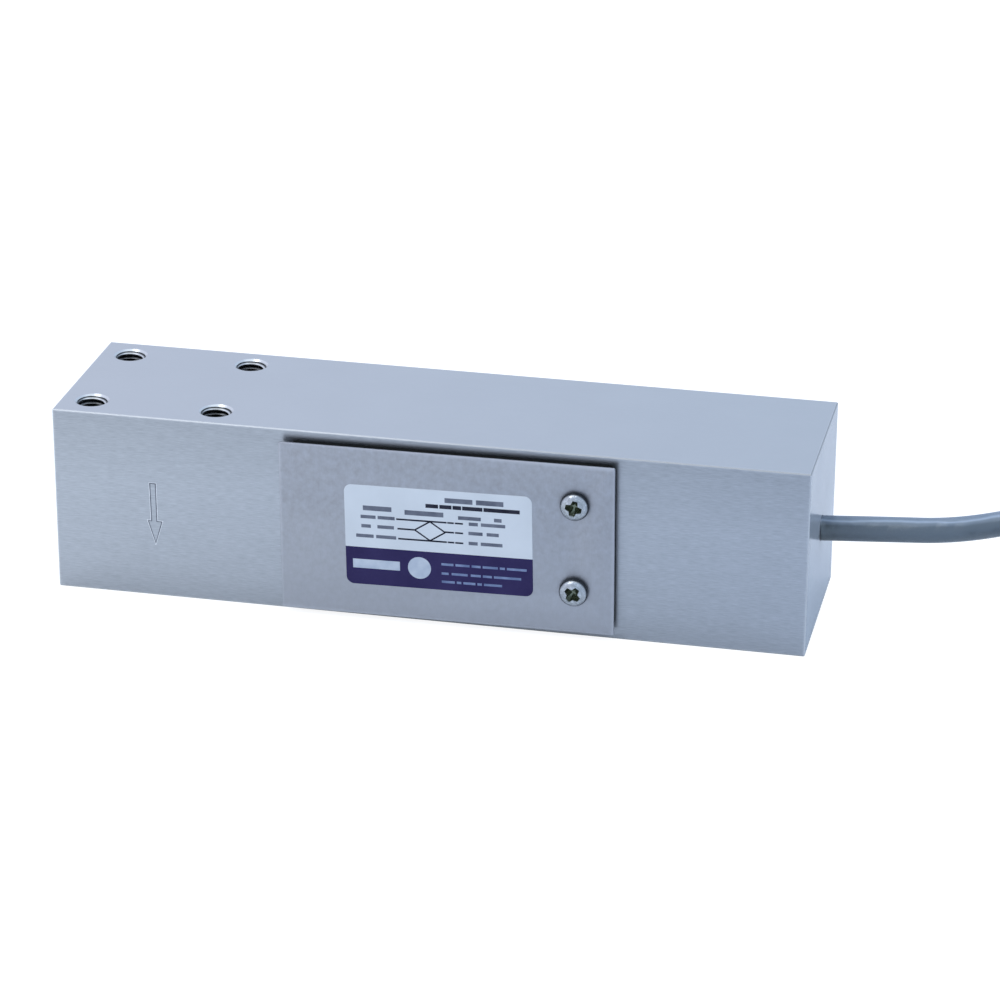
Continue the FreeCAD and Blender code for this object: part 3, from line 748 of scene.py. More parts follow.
# Plain finishes: two colours, metallic, roughness range, grains per metre, bump and dust
INK = (0.0, (0.45, 0.6), 5200.0, 0.1, 0.04)
CORE = (0.0, (0.30, 0.4), 3000.0, 0.15, 0.03)
PLAIN_FINISHES = {
    # Nearly black gaskets: partly black rubber, partly painted shade of the gap behind the covers.
    "gasket_rubber": ((0.004, 0.004, 0.004), (0.008, 0.008, 0.007), 0.0, (0.75, 0.9), 3800.0, 0.4, 0.0),
    "sealant_rubber": ((0.05, 0.05, 0.048), (0.075, 0.074, 0.07), 0.0, (0.30, 0.45), 900.0, 0.5, 0.10),
    "label_film": ((0.64, 0.66, 0.67), (0.68, 0.70, 0.71), 0.0, (0.40, 0.5), 1600.0, 0.06, 0.05),
    "label_band": ((0.026, 0.019, 0.076), (0.036, 0.027, 0.094), 0.0, (0.38, 0.5), 1600.0, 0.06, 0.06),
    "label_ink": ((0.012, 0.012, 0.022), (0.030, 0.030, 0.045), *INK),
    "label_soft_ink": ((0.110, 0.118, 0.150), (0.180, 0.190, 0.225), *INK),
    "label_pale_ink": ((0.42, 0.47, 0.54), (0.54, 0.58, 0.63), *INK),
    "label_blue_ink": ((0.11, 0.15, 0.28), (0.20, 0.25, 0.40), *INK),
    # Painted shade: the engraved groove drawn as a dark line of metal.
    "groove_metal": ((0.12, 0.125, 0.15), (0.24, 0.245, 0.27), 1.0, (0.45, 0.6), 6000.0, 0.4, 0.0),
    "burr_metal": ((0.74, 0.75, 0.75), (0.90, 0.90, 0.90), 1.0, (0.30, 0.4), 6000.0, 0.3, 0.0),
    "gauge_film": ((0.50, 0.30, 0.09), (0.62, 0.40, 0.13), 0.0, (0.22, 0.32), 2500.0, 0.2, 0.0),
    "wire_enamel": ((0.42, 0.13, 0.05), (0.52, 0.18, 0.07), 0.0, (0.20, 0.3), 3000.0, 0.1, 0.0),
    "board_laminate": ((0.03, 0.16, 0.07), (0.04, 0.20, 0.09), 0.0, (0.35, 0.45), 2400.0, 0.2, 0.0),
    "solder": ((0.60, 0.60, 0.61), (0.74, 0.74, 0.75), 1.0, (0.22, 0.4), 2600.0, 0.5, 0.0),
    "resistor_body": ((0.03, 0.03, 0.035), (0.05, 0.05, 0.055), 0.0, (0.4, 0.5), 4200.0, 0.3, 0.0),
    "crimp_brass": ((0.60, 0.44, 0.17), (0.70, 0.53, 0.24), 1.0, (0.28, 0.4), 2200.0, 0.3, 0.0),
    "shield_braid": ((0.62, 0.60, 0.58), (0.78, 0.76, 0.74), 1.0, (0.25, 0.4), 5200.0, 0.3, 0.0),
    "core_red": ((0.50, 0.012, 0.012), (0.60, 0.020, 0.018), *CORE),
    "core_black": ((0.012, 0.012, 0.013), (0.022, 0.022, 0.024), *CORE[:-1], 0.06),
    "core_green": ((0.010, 0.22, 0.045), (0.018, 0.28, 0.065), *CORE),
    "core_white": ((0.72, 0.72, 0.70), (0.80, 0.80, 0.78), *CORE),
    "core_blue": ((0.012, 0.06, 0.42), (0.020, 0.085, 0.52), *CORE),
    "core_brown": ((0.11, 0.045, 0.020), (0.15, 0.065, 0.030), *CORE),
}
CHOSEN_COLOURS = {"gasket_rubber": "rubber", "label_film": "label", "label_band": "band"}
DULL_FINISHES = ("gasket_rubber", "label_film", "label_band", "label_ink", "label_soft_ink")
DULL_LEVEL = 0.12


def plain_finish(paint, name):
    low, high, metallic, roughness, grains, depth, dusty = PLAIN_FINISHES[name]
    if name in CHOSEN_COLOURS:
        chosen = getattr(colours(), CHOSEN_COLOURS[name])
        low = tuple(part * dark / pale for part, dark, pale in zip(chosen, low, high))
        high = chosen
    grain, tone = paint.effect(fine_grain, grains_per_metre=grains, softness=0.55)
    paint.colour = paint.blend(paint.spread(tone, *NARROW), low, high)
    if dusty:
        paint.dust(dusty, 2400.0, DUST_GREY)
    paint.roughness(grain, *roughness)
    paint.relief(grain, depth, 0.00008)
    paint.give("Metallic", metallic)
    if name in DULL_FINISHES:
        paint.give("Specular IOR Level", DULL_LEVEL)


OWN_FINISHES = {
    maker.__name__: maker
    for maker in (bar_aluminium, cover_steel, screw_steel, thread_aluminium, cable_jacket, strap_fabric)
}


def finish(name):
    """The material of that name, made when it is first asked for."""
    found = bpy.data.materials.get("finish_" + name)
    if found:
        return found
    paint = Paint("finish_" + name)
    if name in OWN_FINISHES:
        OWN_FINISHES[name](paint)
    else:
        plain_finish(paint, name)
    paint.give("Base Color", paint.colour)
    return paint.material


# Meshes


def point(x, y, z):
    return Vector((x * MM, y * MM, z * MM))


def linked(name, data):
    """Puts a new object at the origin."""
    piece = bpy.data.objects.new(name, data)
    bpy.context.scene.collection.objects.link(piece)
    return piece


def smoothed(name, shape, mesh, sharp_angle):
    """Writes a bmesh, with its faces outward, into a mesh and makes it an object."""
    bmesh.ops.recalc_face_normals(shape, faces=shape.faces)
    shape.to_mesh(mesh)
    shape.free()
    mesh.shade_smooth()
    mesh.set_sharp_from_angle(angle=math.radians(sharp_angle))
    return linked(name, mesh)


def mesh_piece(name, shape, materials, sharp_angle=35.0):
    """Makes a bmesh an object, its doubles merged."""
    bmesh.ops.remove_doubles(shape, verts=shape.verts, dist=1e-7)
    mesh = bpy.data.meshes.new(name)
    for material in materials:
        mesh.materials.append(material)
    return smoothed(name, shape, mesh, sharp_angle)


def evaluated(piece):
    """Plain mesh of a piece with its modifiers applied."""
    graph = bpy.context.evaluated_depsgraph_get()
    return bpy.data.meshes.new_from_object(piece.evaluated_get(graph), depsgraph=graph)


def belongs(piece, slot, *nodes):
    """Lets a finished piece ride on the part and hides the solids that it stands for; its slot is not used.
    """
    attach(piece, "root")
    if nodes:
        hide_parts(*nodes)
    return piece


def loft(shape, rings, closed=False, capped=False):
    """Joins rings of as many vertices each into a skin; returns its rows of vertices and faces."""
    rows = [[shape.verts.new(place) for place in ring] for ring in rings]
    pairs = list(zip(rows, rows[1:]))
    if closed:
        pairs.append((rows[-1], rows[0]))
    faces = []
    for one, two in pairs:
        count = len(one)
        for i in range(count):
            j = (i + 1) % count
            faces.append(shape.faces.new((one[i], one[j], two[j], two[i])))
    if capped:
        shape.faces.new(rows[0])
        shape.faces.new(rows[-1])
    return rows, faces


def neighbours(ring):
    return zip(ring, ring[1:] + ring[:1])


def on_circle(x, y, radius, turn):
    return x + radius * math.cos(turn), y + radius * math.sin(turn)


def rounded_outline(length, height, radius, steps=6):
    """Points of a rounded rectangle about the origin, anticlockwise."""
    points = []
    for sx, sy, first in ((1, 1, 0.0), (-1, 1, 90.0), (-1, -1, 180.0), (1, -1, 270.0)):
        cx = sx * (length / 2 - radius)
        cy = sy * (height / 2 - radius)
        for step in range(steps + 1):
            turn = math.radians(first + 90.0 * step / steps)
            points.append(on_circle(cx, cy, radius, turn))
    return points


def circle_outline(x, y, radius, steps=32):
    return [on_circle(x, y, radius, 2 * math.pi * step / steps) for step in range(steps)]


def plate(shape, size, corner, profile, holes, settle):
    """Plate with shaped rims. profile is (outward, depth) pairs from its face to its back; each
    hole is (x, y, radius); settle turns a point of the sheet and a depth into a place."""
    length, height = size
    outlines = [rounded_outline(length + 2 * out, height + 2 * out, corner + out) for out, _ in profile]
    skins = [outlines] + [[circle_outline(x, y, r - out) for out, _ in profile] for x, y, r in holes]
    walls = []
    for skin in skins:
        rings = [[settle(u, v, depth) for u, v in spots] for spots, (_, depth) in zip(skin, profile)]
        walls.append(loft(shape, rings)[0])
    for end in (0, -1):
        edges = [shape.edges.get(pair) for rows in walls for pair in neighbours(rows[end])]
        bmesh.ops.triangle_fill(shape, use_beauty=True, edges=edges)


def turned(u, v, turn):
    """A point of the plane turned anticlockwise, in degrees."""
    cos = math.cos(math.radians(turn))
    sin = math.sin(math.radians(turn))
    return u * cos - v * sin, u * sin + v * cos


def on_side(side, turn, center, base_y):
    """Settler for sheets on the front (-1) or rear (1) face, turned in their own plane."""

    def settle(u, v, depth):
        across, up = turned(u, v, turn)
        return point(center[0] + across, side * (base_y + depth), center[1] + up)

    return settle


# Geometry node trees


def bake(name, source, tree, values, sharp_angle=35.0):
    """Puts a geometry tree on an object, turns the result into a plain mesh and drops the tree."""
    modifier = source.modifiers.new("shape", "NODES")
    modifier.node_group = tree
    for socket in tree.interface.items_tree:
        if socket.in_out == "INPUT" and socket.name in values:
            modifier[socket.identifier] = values[socket.name]
    bpy.context.view_layer.update()
    mesh = evaluated(source)
    source.modifiers.remove(modifier)
    bpy.data.objects.remove(source)
    mesh.name = name
    shape = bmesh.new()
    shape.from_mesh(mesh)
    return smoothed(name, shape, mesh, sharp_angle)


def points_source(name, places, facings):
    """Mesh of loose points, each with the turn that its copy takes."""
    mesh = bpy.data.meshes.new(name)
    mesh.from_pydata(places, [], [])
    attribute = mesh.attributes.new("turned", "FLOAT_VECTOR", "POINT")
    for item, facing in zip(attribute.data, facings):
        item.vector = facing
    return linked(name, mesh)


def hand_over(nodes, shape, given, out):
    """Ends a tree: real meshes with their material."""
    real = nodes.make("GeometryNodeRealizeInstances", {"Geometry": shape})
    values = {"Geometry": real, "Material": given["Material"]}
    nodes.put(nodes.make("GeometryNodeSetMaterial", values), out["Geometry"])
    return nodes.tree


def place_copies(nodes, copy, given, out):
    """Copies a shape to each point, turned by the point's attribute."""
    attribute = nodes.add("GeometryNodeInputNamedAttribute", {"Name": "turned"}, data_type="FLOAT_VECTOR")
    turn = nodes.make("FunctionNodeEulerToRotation", {0: attribute.outputs["Attribute"]})
    values = {"Points": given["Geometry"], "Instance": copy, "Rotation": turn}
    copies = nodes.make("GeometryNodeInstanceOnPoints", values)
    return hand_over(nodes, copies, given, out)


def thread_tree():
    """Thread cut in a hole: a ridge that winds down from each point, and fades at both ends."""
    inputs = {
        "Geometry": "Geometry",
        "Wall Radius": 0.003,
        "Crest Radius": 0.0025,
        "Pitch": 0.001,
        "Turns": 13.0,
        "Steps": 313,
        "Material": "Material",
    }
    nodes, given, out = new_tree("Hole Threads", inputs, ("Geometry",), "Geometry")
    sheet = {"Size X": given["Turns"], "Size Y": 1.0, "Vertices X": given["Steps"], "Vertices Y": 5}
    grid = nodes.add("GeometryNodeMeshGrid", sheet).outputs["Mesh"]
    x, y, _ = nodes.split(nodes.make("GeometryNodeInputPosition"))
    turn = nodes.plus(x, nodes.times(given["Turns"], 0.5))
    from_end = nodes.least(turn, nodes.minus(given["Turns"], turn))
    fade = nodes.math("DIVIDE", from_end, THREAD_FADE, use_clamp=True)
    # Five corners, a quarter apart: root, crest and crest, root, and the first root again
    corner = nodes.plus(y, 0.5)
    crest = nodes.between(corner, 0.2, 0.6)
    side = nodes.scaled_sum(nodes.between(corner, 0.4, 0.9), 2.0, -1.0)
    half = nodes.scaled_sum(crest, THREAD_CREST - THREAD_ROOT, THREAD_ROOT)
    rise = nodes.times(side, half, fade)
    inward = nodes.times(nodes.minus(given["Wall Radius"], given["Crest Radius"]), crest, fade)
    radius = nodes.minus(given["Wall Radius"], inward)
    angle = nodes.times(turn, 2 * math.pi)
    place = nodes.joined(
        nodes.times(radius, nodes.math("COSINE", angle)),
        nodes.times(radius, nodes.math("SINE", nodes.times(angle, -1.0))),
        nodes.times(nodes.minus(rise, turn), given["Pitch"]),
    )
    ridge = nodes.make("GeometryNodeSetPosition", {"Geometry": grid, "Position": place})
    ridge = nodes.make("GeometryNodeMergeByDistance", {"Geometry": ridge, "Distance": 1e-7})
    return place_copies(nodes, ridge, given, out)


def copies_tree():
    """One screw copied to each point."""
    inputs = {"Geometry": "Geometry", "Screw": "Object", "Material": "Material"}
    nodes, given, out = new_tree("Screw Copies", inputs, ("Geometry",), "Geometry")
    screw = nodes.add("GeometryNodeObjectInfo", {"Object": given["Screw"]}).outputs["Geometry"]
    return place_copies(nodes, screw, given, out)


def twisted_strands():
    """Twisted strands round a curve."""
    inputs = {
        "Geometry": "Geometry",
        "Strands": 7,
        "Strand Radius": 0.0001,
        "Lay Radius": 0.0003,
        "Twist Length": 0.006,
        "Material": "Material",
    }
    nodes, given, out = new_tree("Twisted Strands", inputs, ("Geometry",), "Geometry")
    even = {"Curve": given["Geometry"], "Count": 40}
    fine = nodes.make("GeometryNodeResampleCurve", even, mode="COUNT")
    copied = nodes.add(
        "GeometryNodeDuplicateElements", {"Geometry": fine, "Amount": given["Strands"]}, domain="SPLINE"
    ).outputs
    along = nodes.add("GeometryNodeSplineParameter").outputs["Length"]
    share = nodes.math("DIVIDE", copied["Duplicate Index"], given["Strands"])
    turn = nodes.plus(share, nodes.math("DIVIDE", along, given["Twist Length"]))
    angle = nodes.times(turn, 2 * math.pi)
    tangent = nodes.make("GeometryNodeInputTangent")
    normal = nodes.make("GeometryNodeInputNormal")
    one = nodes.stretch(normal, nodes.math("COSINE", angle))
    two = nodes.stretch(nodes.vector("CROSS_PRODUCT", tangent, normal), nodes.math("SINE", angle))
    offset = nodes.stretch(nodes.vector("ADD", one, two), given["Lay Radius"])
    laid = nodes.make("GeometryNodeSetPosition", {"Geometry": copied["Geometry"], "Offset": offset})
    ring = nodes.add("GeometryNodeCurvePrimitiveCircle", {"Resolution": 7, "Radius": given["Strand Radius"]})
    swept = {"Curve": laid, "Profile Curve": ring.outputs["Curve"], "Fill Caps": True}
    return hand_over(nodes, nodes.make("GeometryNodeCurveToMesh", swept), given, out)


# Curves


def spline_curve(name, places, radius, resolution=8, bevel_resolution=6, radii=None):
    """Smooth open curve whose control points are the given places."""
    curve = bpy.data.curves.new(name, "CURVE")
    curve.dimensions = "3D"
    curve.bevel_depth = radius
    curve.bevel_resolution = bevel_resolution
    curve.use_fill_caps = True
    curve.resolution_u = resolution
    spline = curve.splines.new("NURBS")
    spline.points.add(len(places) - 1)
    for index, place in enumerate(places):
        spline.points[index].co = (*place, 1.0)
        if radii:
            spline.points[index].radius = radii[index]
    spline.order_u = 3
    spline.use_endpoint_u = True
    return linked(name, curve)


def half_turn(center_x, first, radius, height):
    """Control points of half a turn of the hank, clockwise from above; first is in degrees."""
    reach = radius / math.cos(math.radians(15.0))
    turns = [math.radians(first - 30.0 * step) for step in range(6)]
    return [point(*on_circle(center_x, HANK_CENTER_Y, reach, turn), height) for turn in turns]


def run_points(xs, y, heights):
    return [point(x, y, height) for x, height in zip(xs, heights)]


def hank_points():
    """The lead's turns: an outer column that winds down, then an inner one that winds up."""
    points = []
    front_y = HANK_CENTER_Y - OUTER_RADIUS
    back_y = HANK_CENTER_Y + OUTER_RADIUS
    above = FEED_HEIGHT
    for height, swell in zip(reversed(ROW_HEIGHTS), ROW_SWELLS):
        points += run_points(OUTER_BACK_X, back_y, (above, height, height))
        points += half_turn(HANK_END_X + swell, 75.0, OUTER_RADIUS, height)
        if height != ROW_HEIGHTS[0]:
            points.append(point(OUTER_FRONT_X, front_y, height))
            points += half_turn(HANK_START_X - swell / 2, 255.0, OUTER_RADIUS, height)
        above = height
    inner_y = HANK_CENTER_Y - INNER_RADIUS
    for x, y in zip(INWARD_X, (front_y, front_y, inner_y)):
        points.append(point(x, y, ROW_HEIGHTS[0]))
    for height, above in zip(ROW_HEIGHTS, ROW_HEIGHTS[1:]):
        points += half_turn(HANK_START_X, 255.0, INNER_RADIUS, height)
        points.append(point(INNER_BACK_X, HANK_CENTER_Y + INNER_RADIUS, height))
        points += half_turn(HANK_END_X, 75.0, INNER_RADIUS, height)
        points += run_points(INNER_FRONT_X, inner_y, (height, above, above))
    points.append(point(*JACKET_END))
    return points


# Stage: the camera, the lights as (place, size, power), and the colours of room and floor
LENS = 136.72
CAMERA_PLACE = (0.15629, -0.67593, 0.31567)
CAMERA_TURN = (66.762, -0.238, 12.243)
LIGHTS = {
    "key_light": ((-0.52, -0.55, 1.15), 0.55, 2.0),
    "top_light": ((-0.02, 0.02, 1.2), 1.3, 2.7),
}
LIGHT_COLOUR = (0.93, 0.97, 1.0)
LIGHTS_AIM = (0.0, 0.0, 0.02)
FLOOR_SIZE = 4.0
WHITE = (1.0, 1.0, 1.0)
ROOM_LEFT = (0.79, 0.87, 1.08)
ROOM_RIGHT = (0.63, 0.77, 1.0)
ROOM_FRONT = (1.02, 1.02, 1.01)
CEILING_SHARE = 0.4
# The floor as the metal mirrors it carries painted light: lighter at the left and behind the bar, darker to
# the right, with a painted glow.
PAPER_LEFT = (0.92, 0.93, 0.92)
PAPER_RIGHT = (0.63, 0.69, 0.77)
PAPER_BEHIND = (0.97, 0.98, 0.99)
PAPER_FIBRE = (0.97, 0.97, 0.97)
PAPER_LIFT = 0.17
SEEN_GLOW = 0.88
SEEN_PAPER = (0.34, 0.35, 0.36)


class LOADCELL_OT_stage(bpy.types.Operator):
    """Adds the pale floor, the soft lights and the camera"""

    bl_idname = "load_cell.add_stage"
    bl_label = "Add Stage"

    def execute(self, context):
        scene = context.scene
        scene.view_settings.view_transform = "Standard"
        lens = bpy.data.cameras.new("camera")
        lens.sensor_width = 36.0
        lens.lens = LENS
        lens.clip_end = 20.0
        scene.camera = linked("camera", lens)
        scene.camera.location = CAMERA_PLACE
        scene.camera.rotation_euler = [math.radians(turn) for turn in CAMERA_TURN]
        shape = bmesh.new()
        bmesh.ops.create_grid(shape, x_segments=1, y_segments=1, size=FLOOR_SIZE)
        floor = mesh_piece("floor", shape, [self.floor_finish()])
        for name, light in LIGHTS.items():
            self.soft_light(name, *light)
        scene.world = self.room()
        return {"FINISHED"}

    def room(self):
        """Soft room: cooler at the right, dimmer overhead, white to the camera."""
        world = bpy.data.worlds.new("studio")
        nodes = Nodes(cleared(world))
        across, along, up = nodes.split(nodes.coordinates()["Generated"])
        room = nodes.blend(nodes.spread(across, -0.36, -0.06), ROOM_LEFT, ROOM_RIGHT)
        front = nodes.blend(1.0, room, ROOM_FRONT, "MULTIPLY")
        room = nodes.blend(nodes.spread(along, -0.5, 0.5), front, room)
        ceiling = nodes.spread(up, 0.91, 0.97, 1.0, CEILING_SHARE)
        room = nodes.blend(1.0, room, ceiling, "MULTIPLY")
        seen = nodes.add("ShaderNodeLightPath").outputs["Is Camera Ray"]
        glow = {"Color": nodes.blend(seen, room, WHITE), "Strength": 1.0}
        back = nodes.make("ShaderNodeBackground", glow)
        nodes.put(back, nodes.add("ShaderNodeOutputWorld").inputs["Surface"])
        return world

    def floor_finish(self):
        """White sweep: bright to the camera, softer in what the metal mirrors, where it carries painted
        light: lighter at the left and behind, darker to the right, with a glow.
        """
        material = bpy.data.materials.new("floor_paper")
        nodes = Nodes(cleared(material))
        place = nodes.coordinates()["Object"]
        x, y, _ = nodes.split(place)
        right = nodes.blend(nodes.spread(x, -0.10, 0.11), PAPER_LEFT, PAPER_RIGHT)
        behind = nodes.blend(nodes.spread(y, -0.03, 0.05), right, PAPER_BEHIND)
        paper = nodes.blend(nodes.noise(place, 900.0, 2.0), behind, PAPER_FIBRE, "MULTIPLY")
        lifted = self.glowing(nodes, paper, paper, PAPER_LIFT)
        bright = self.glowing(nodes, SEEN_PAPER, WHITE, SEEN_GLOW)
        seen = nodes.add("ShaderNodeLightPath").outputs["Is Camera Ray"]
        surface = nodes.make("ShaderNodeMixShader", {0: seen, 1: lifted, 2: bright})
        nodes.put(surface, nodes.add("ShaderNodeOutputMaterial").inputs["Surface"])
        return material

    def glowing(self, nodes, matte, glow, strength):
        """Matte surface with a glow added."""
        matte = nodes.make("ShaderNodeBsdfDiffuse", {"Color": matte})
        glow = nodes.make("ShaderNodeEmission", {"Color": glow, "Strength": strength})
        return nodes.make("ShaderNodeAddShader", {0: matte, 1: glow})

    def soft_light(self, name, place, size, power):
        light = bpy.data.lights.new(name, "AREA")
        light.shape = "DISK"
        light.size = size
        light.energy = power
        light.color = LIGHT_COLOUR
        lamp = linked(name, light)
        lamp.location = place
        aim = Vector(LIGHTS_AIM) - Vector(place)
        lamp.rotation_euler = aim.to_track_quat("-Z", "Y").to_euler()


class LOADCELL_OT_cable(bpy.types.Operator):
    """Adds the free lead with its hank, the strap round it and the stripped cores"""

    bl_idname = "load_cell.add_cable"
    bl_label = "Add Cable"

    def execute(self, context):
        diameter = sizes().cable_diameter
        places = list(CABLE_POINTS) + hank_points()
        waves = [math.sin(CABLE_STEP * index) for index in range(len(places))]
        radii = [CABLE_MEAN + CABLE_SWING * wave for wave in waves]
        cable = spline_curve("lead_cable", places, diameter / 2, 10, 7, radii)
        cable.data.materials.append(finish("cable_jacket"))
        belongs(cable, "cable_jacket", "cable", "cable_hank")
        carried = [self.strap()] + self.cores() + [self.screen()]
        return {"FINISHED"}

    def strap_path(self):
        """The band's middle line across the hank, whose end lies over its start."""
        steps = 6
        width = 2 * (OUTER_RADIUS + STRAP_GAP)
        outline = rounded_outline(width, STRAP_HIGH - STRAP_LOW, STRAP_CORNER, steps)
        outline = outline[steps + 1:] + outline[:steps + 1]
        middle_z = (STRAP_LOW + STRAP_HIGH) / 2
        start, end = ([(y, STRAP_HIGH + above) for y, above in spots] for spots in (STRAP_START, STRAP_END))
        return start + [(HANK_CENTER_Y + u, middle_z + v) for u, v in outline] + end

    def strap(self):
        """Band round the middle of the hank, with a UV map that runs along it."""
        path = self.strap_path()
        middle_x = (HANK_START_X + HANK_END_X) / 2
        half = sizes().strap_width / MM / 2
        rim = sizes().strap_thickness / MM / 2
        edge = half - rim
        section = [(-half, 0.0), (-edge, rim), (edge, rim), (half, 0.0), (edge, -rim), (-edge, -rim)]
        rings = []
        travelled = [0.0]
        for index, (y, z) in enumerate(path):
            before = path[max(index - 1, 0)]
            after = path[min(index + 1, len(path) - 1)]
            run = Vector((after[0] - before[0], after[1] - before[1])).normalized()
            rings.append([point(middle_x + u, y - run.y * w, z + run.x * w) for u, w in section])
            if index:
                step = Vector((y - path[index - 1][0], z - path[index - 1][1])).length
                travelled.append(travelled[-1] + step)
        shape = bmesh.new()
        layer = shape.loops.layers.uv.new("strap")
        rows, _ = loft(shape, rings, capped=True)
        spots = {}
        for row, distance in zip(rows, travelled):
            for vert, (u, _) in zip(row, section):
                spots[vert] = (distance / travelled[-1], (u + half) / (2 * half))
        for face in shape.faces:
            for loop in face.loops:
                loop[layer].uv = spots[loop.vert]
        strap = mesh_piece("hank_strap_band", shape, [finish("strap_fabric")], 50.0)
        return belongs(strap, "strap_fabric", "hank_strap")

    def strands(self, name, places, resolution, form, material):
        """Twisted wires along a line."""
        line = spline_curve(name, [point(*place) for place in places], 0.0, resolution, 0)
        return bake(name, line, shared(twisted_strands), {**form, "Material": finish(material)})

    def cores(self):
        """Six stripped cores that fan out a little, each with a tinned, twisted tip."""
        pieces = []
        x, y, z = JACKET_END
        for index, colour in enumerate(LEAD_COLOURS):
            dy, dz = turned(CORE_RING, 0.0, 30 + 60 * index)
            tip_x = x - STRIPPED_LENGTH + CORE_STAGGER * (index % 3)
            lean = CORE_LEAN * math.sin(1.7 * index)
            path = [
                (x + 1.0, y + dy * 0.9, z + dz * 0.9),
                (x - 4.0, y + dy, z + dz),
                (x - 9.0, y + 1.1 * dy, z + 1.1 * dz + lean),
                (x - 14.0, y + 1.3 * dy + lean, z + 1.2 * dz),
                (tip_x + TIP_START, y + TIP_SPREAD * dy, z + TIP_SPREAD * dz),
            ]
            tip = (tip_x, y + (TIP_SPREAD + TIP_FLARE) * dy, z + (TIP_SPREAD + TIP_FLARE) * dz)
            body = spline_curve("core", [point(*place) for place in path], CORE_RADIUS * MM, 8, 4)
            shape = bmesh.new()
            shape.from_mesh(bpy.data.meshes.new_from_object(body))
            count = len(shape.faces)
            bpy.data.objects.remove(body)
            strands = self.strands("tip", [path[-1], tip], 4, CORE_STRANDS, "solder")
            shape.from_mesh(strands.data)
            shape.faces.ensure_lookup_table()
            for face in shape.faces:
                face.material_index = int(face.index >= count)
            bpy.data.objects.remove(strands)
            core = mesh_piece("end_core_" + colour, shape, [finish("core_" + colour), finish("solder")])
            pieces.append(belongs(core, "core_" + colour, "end_lead_" + colour))
        return pieces

    def screen(self):
        """Twisted screen wires in the middle of the cores."""
        x, y, z = JACKET_END
        path = [(x + 0.5, y, z), (x - 6.0, y, z + 0.1), (x - 12.0, y - 0.1, z), (x - 18.0, y, z)]
        screen = self.strands("end_screen", path, 8, SCREEN_STRANDS, "shield_braid")
        return belongs(screen, "shield_braid", "end_shield")


class LOADCELL_OT_finishes(bpy.types.Operator):
    """Gives the bar and the closed-in pieces their finishes"""

    bl_idname = "load_cell.add_finishes"
    bl_label = "Finish Bar and Inner Pieces"

    def execute(self, context):
        for node, name in NODE_FINISHES.items():
            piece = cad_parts[node]
            if not piece.material_slots:
                piece.data.materials.append(None)
            for slot in piece.material_slots:
                slot.material = finish(name)
        return {"FINISHED"}


class LOADCELL_OT_threads(bpy.types.Operator):
    """Cuts the thread of the eight tapped holes"""

    bl_idname = "load_cell.add_threads"
    bl_label = "Add Threads"

    def execute(self, context):
        places = []
        facings = []
        for sx in (-1, 1):
            for sy in (-1, 1):
                for side, height, roll, (middle, along, across) in THREADED_FACES:
                    x = side * HOLE_CENTER_X + sx * HOLE_HALF_PITCH
                    places.append(point(x, sy * HOLE_HALF_PITCH, height))
                    facings.append((roll, 0.0, middle + along * sx + across * sy))
        given = sizes()
        values = {
            "Wall Radius": given.thread_radius,
            "Crest Radius": given.thread_crest,
            "Pitch": given.thread_pitch,
            "Turns": float(given.thread_turns),
            "Steps": STEPS_A_TURN * given.thread_turns + 1,
            "Material": finish("thread_aluminium"),
        }
        source = points_source("thread_points", places, facings)
        belongs(bake("hole_threads", source, thread_tree(), values), "bar_aluminium")
        return {"FINISHED"}


class LOADCELL_OT_covers(bpy.types.Operator):
    """Adds the two sheet covers and the rubber gaskets behind them"""

    bl_idname = "load_cell.add_covers"
    bl_label = "Add Covers and Gaskets"

    def execute(self, context):
        width, height = COVER_SIZE
        gasket_size = (width - INSET_LEFT - INSET_RIGHT, height - INSET_TOP - INSET_BOTTOM)
        gasket_shift = ((INSET_LEFT - INSET_RIGHT) / 2, (INSET_BOTTOM - INSET_TOP) / 2)
        cover = (COVER_SIZE, COVER_CORNER, COVER_RIM, (0.0, 0.0), GASKET_THICKNESS)
        gasket = (gasket_size, GASKET_CORNER, GASKET_RIM, gasket_shift, 0.0)
        for side, face, turn in ((-1, "front", FRONT_TURN), (1, "rear", 0.0)):
            self.sheet(side, face, turn, "cover", "_plate", "cover_steel", 35.0, *cover)
            self.sheet(side, face, turn, "gasket", "_sheet", "gasket_rubber", 60.0, *gasket)
        return {"FINISHED"}

    def sheet(self, side, face, turn, kind, word, slot, angle, size, corner, rim, shift, lift):
        """One sheet with the screws' holes, moved in its own plane by shift and off the bar by lift."""
        base = on_side(side, turn, COVER_CENTER, FACE_Y + lift)

        def settle(u, v, depth):
            return base(u + shift[0], v + shift[1], depth)

        holes = []
        for height in SCREW_HEIGHTS:
            u, v = turned(SCREW_X - COVER_CENTER[0], height - COVER_CENTER[1], -turn)
            holes.append((u - shift[0], v - shift[1], SCREW_HOLE_RADIUS))
        shape = bmesh.new()
        plate(shape, size, corner, rim, holes, settle)
        name = face + "_" + kind
        belongs(mesh_piece(name + word, shape, [finish(slot)], angle), slot, name)


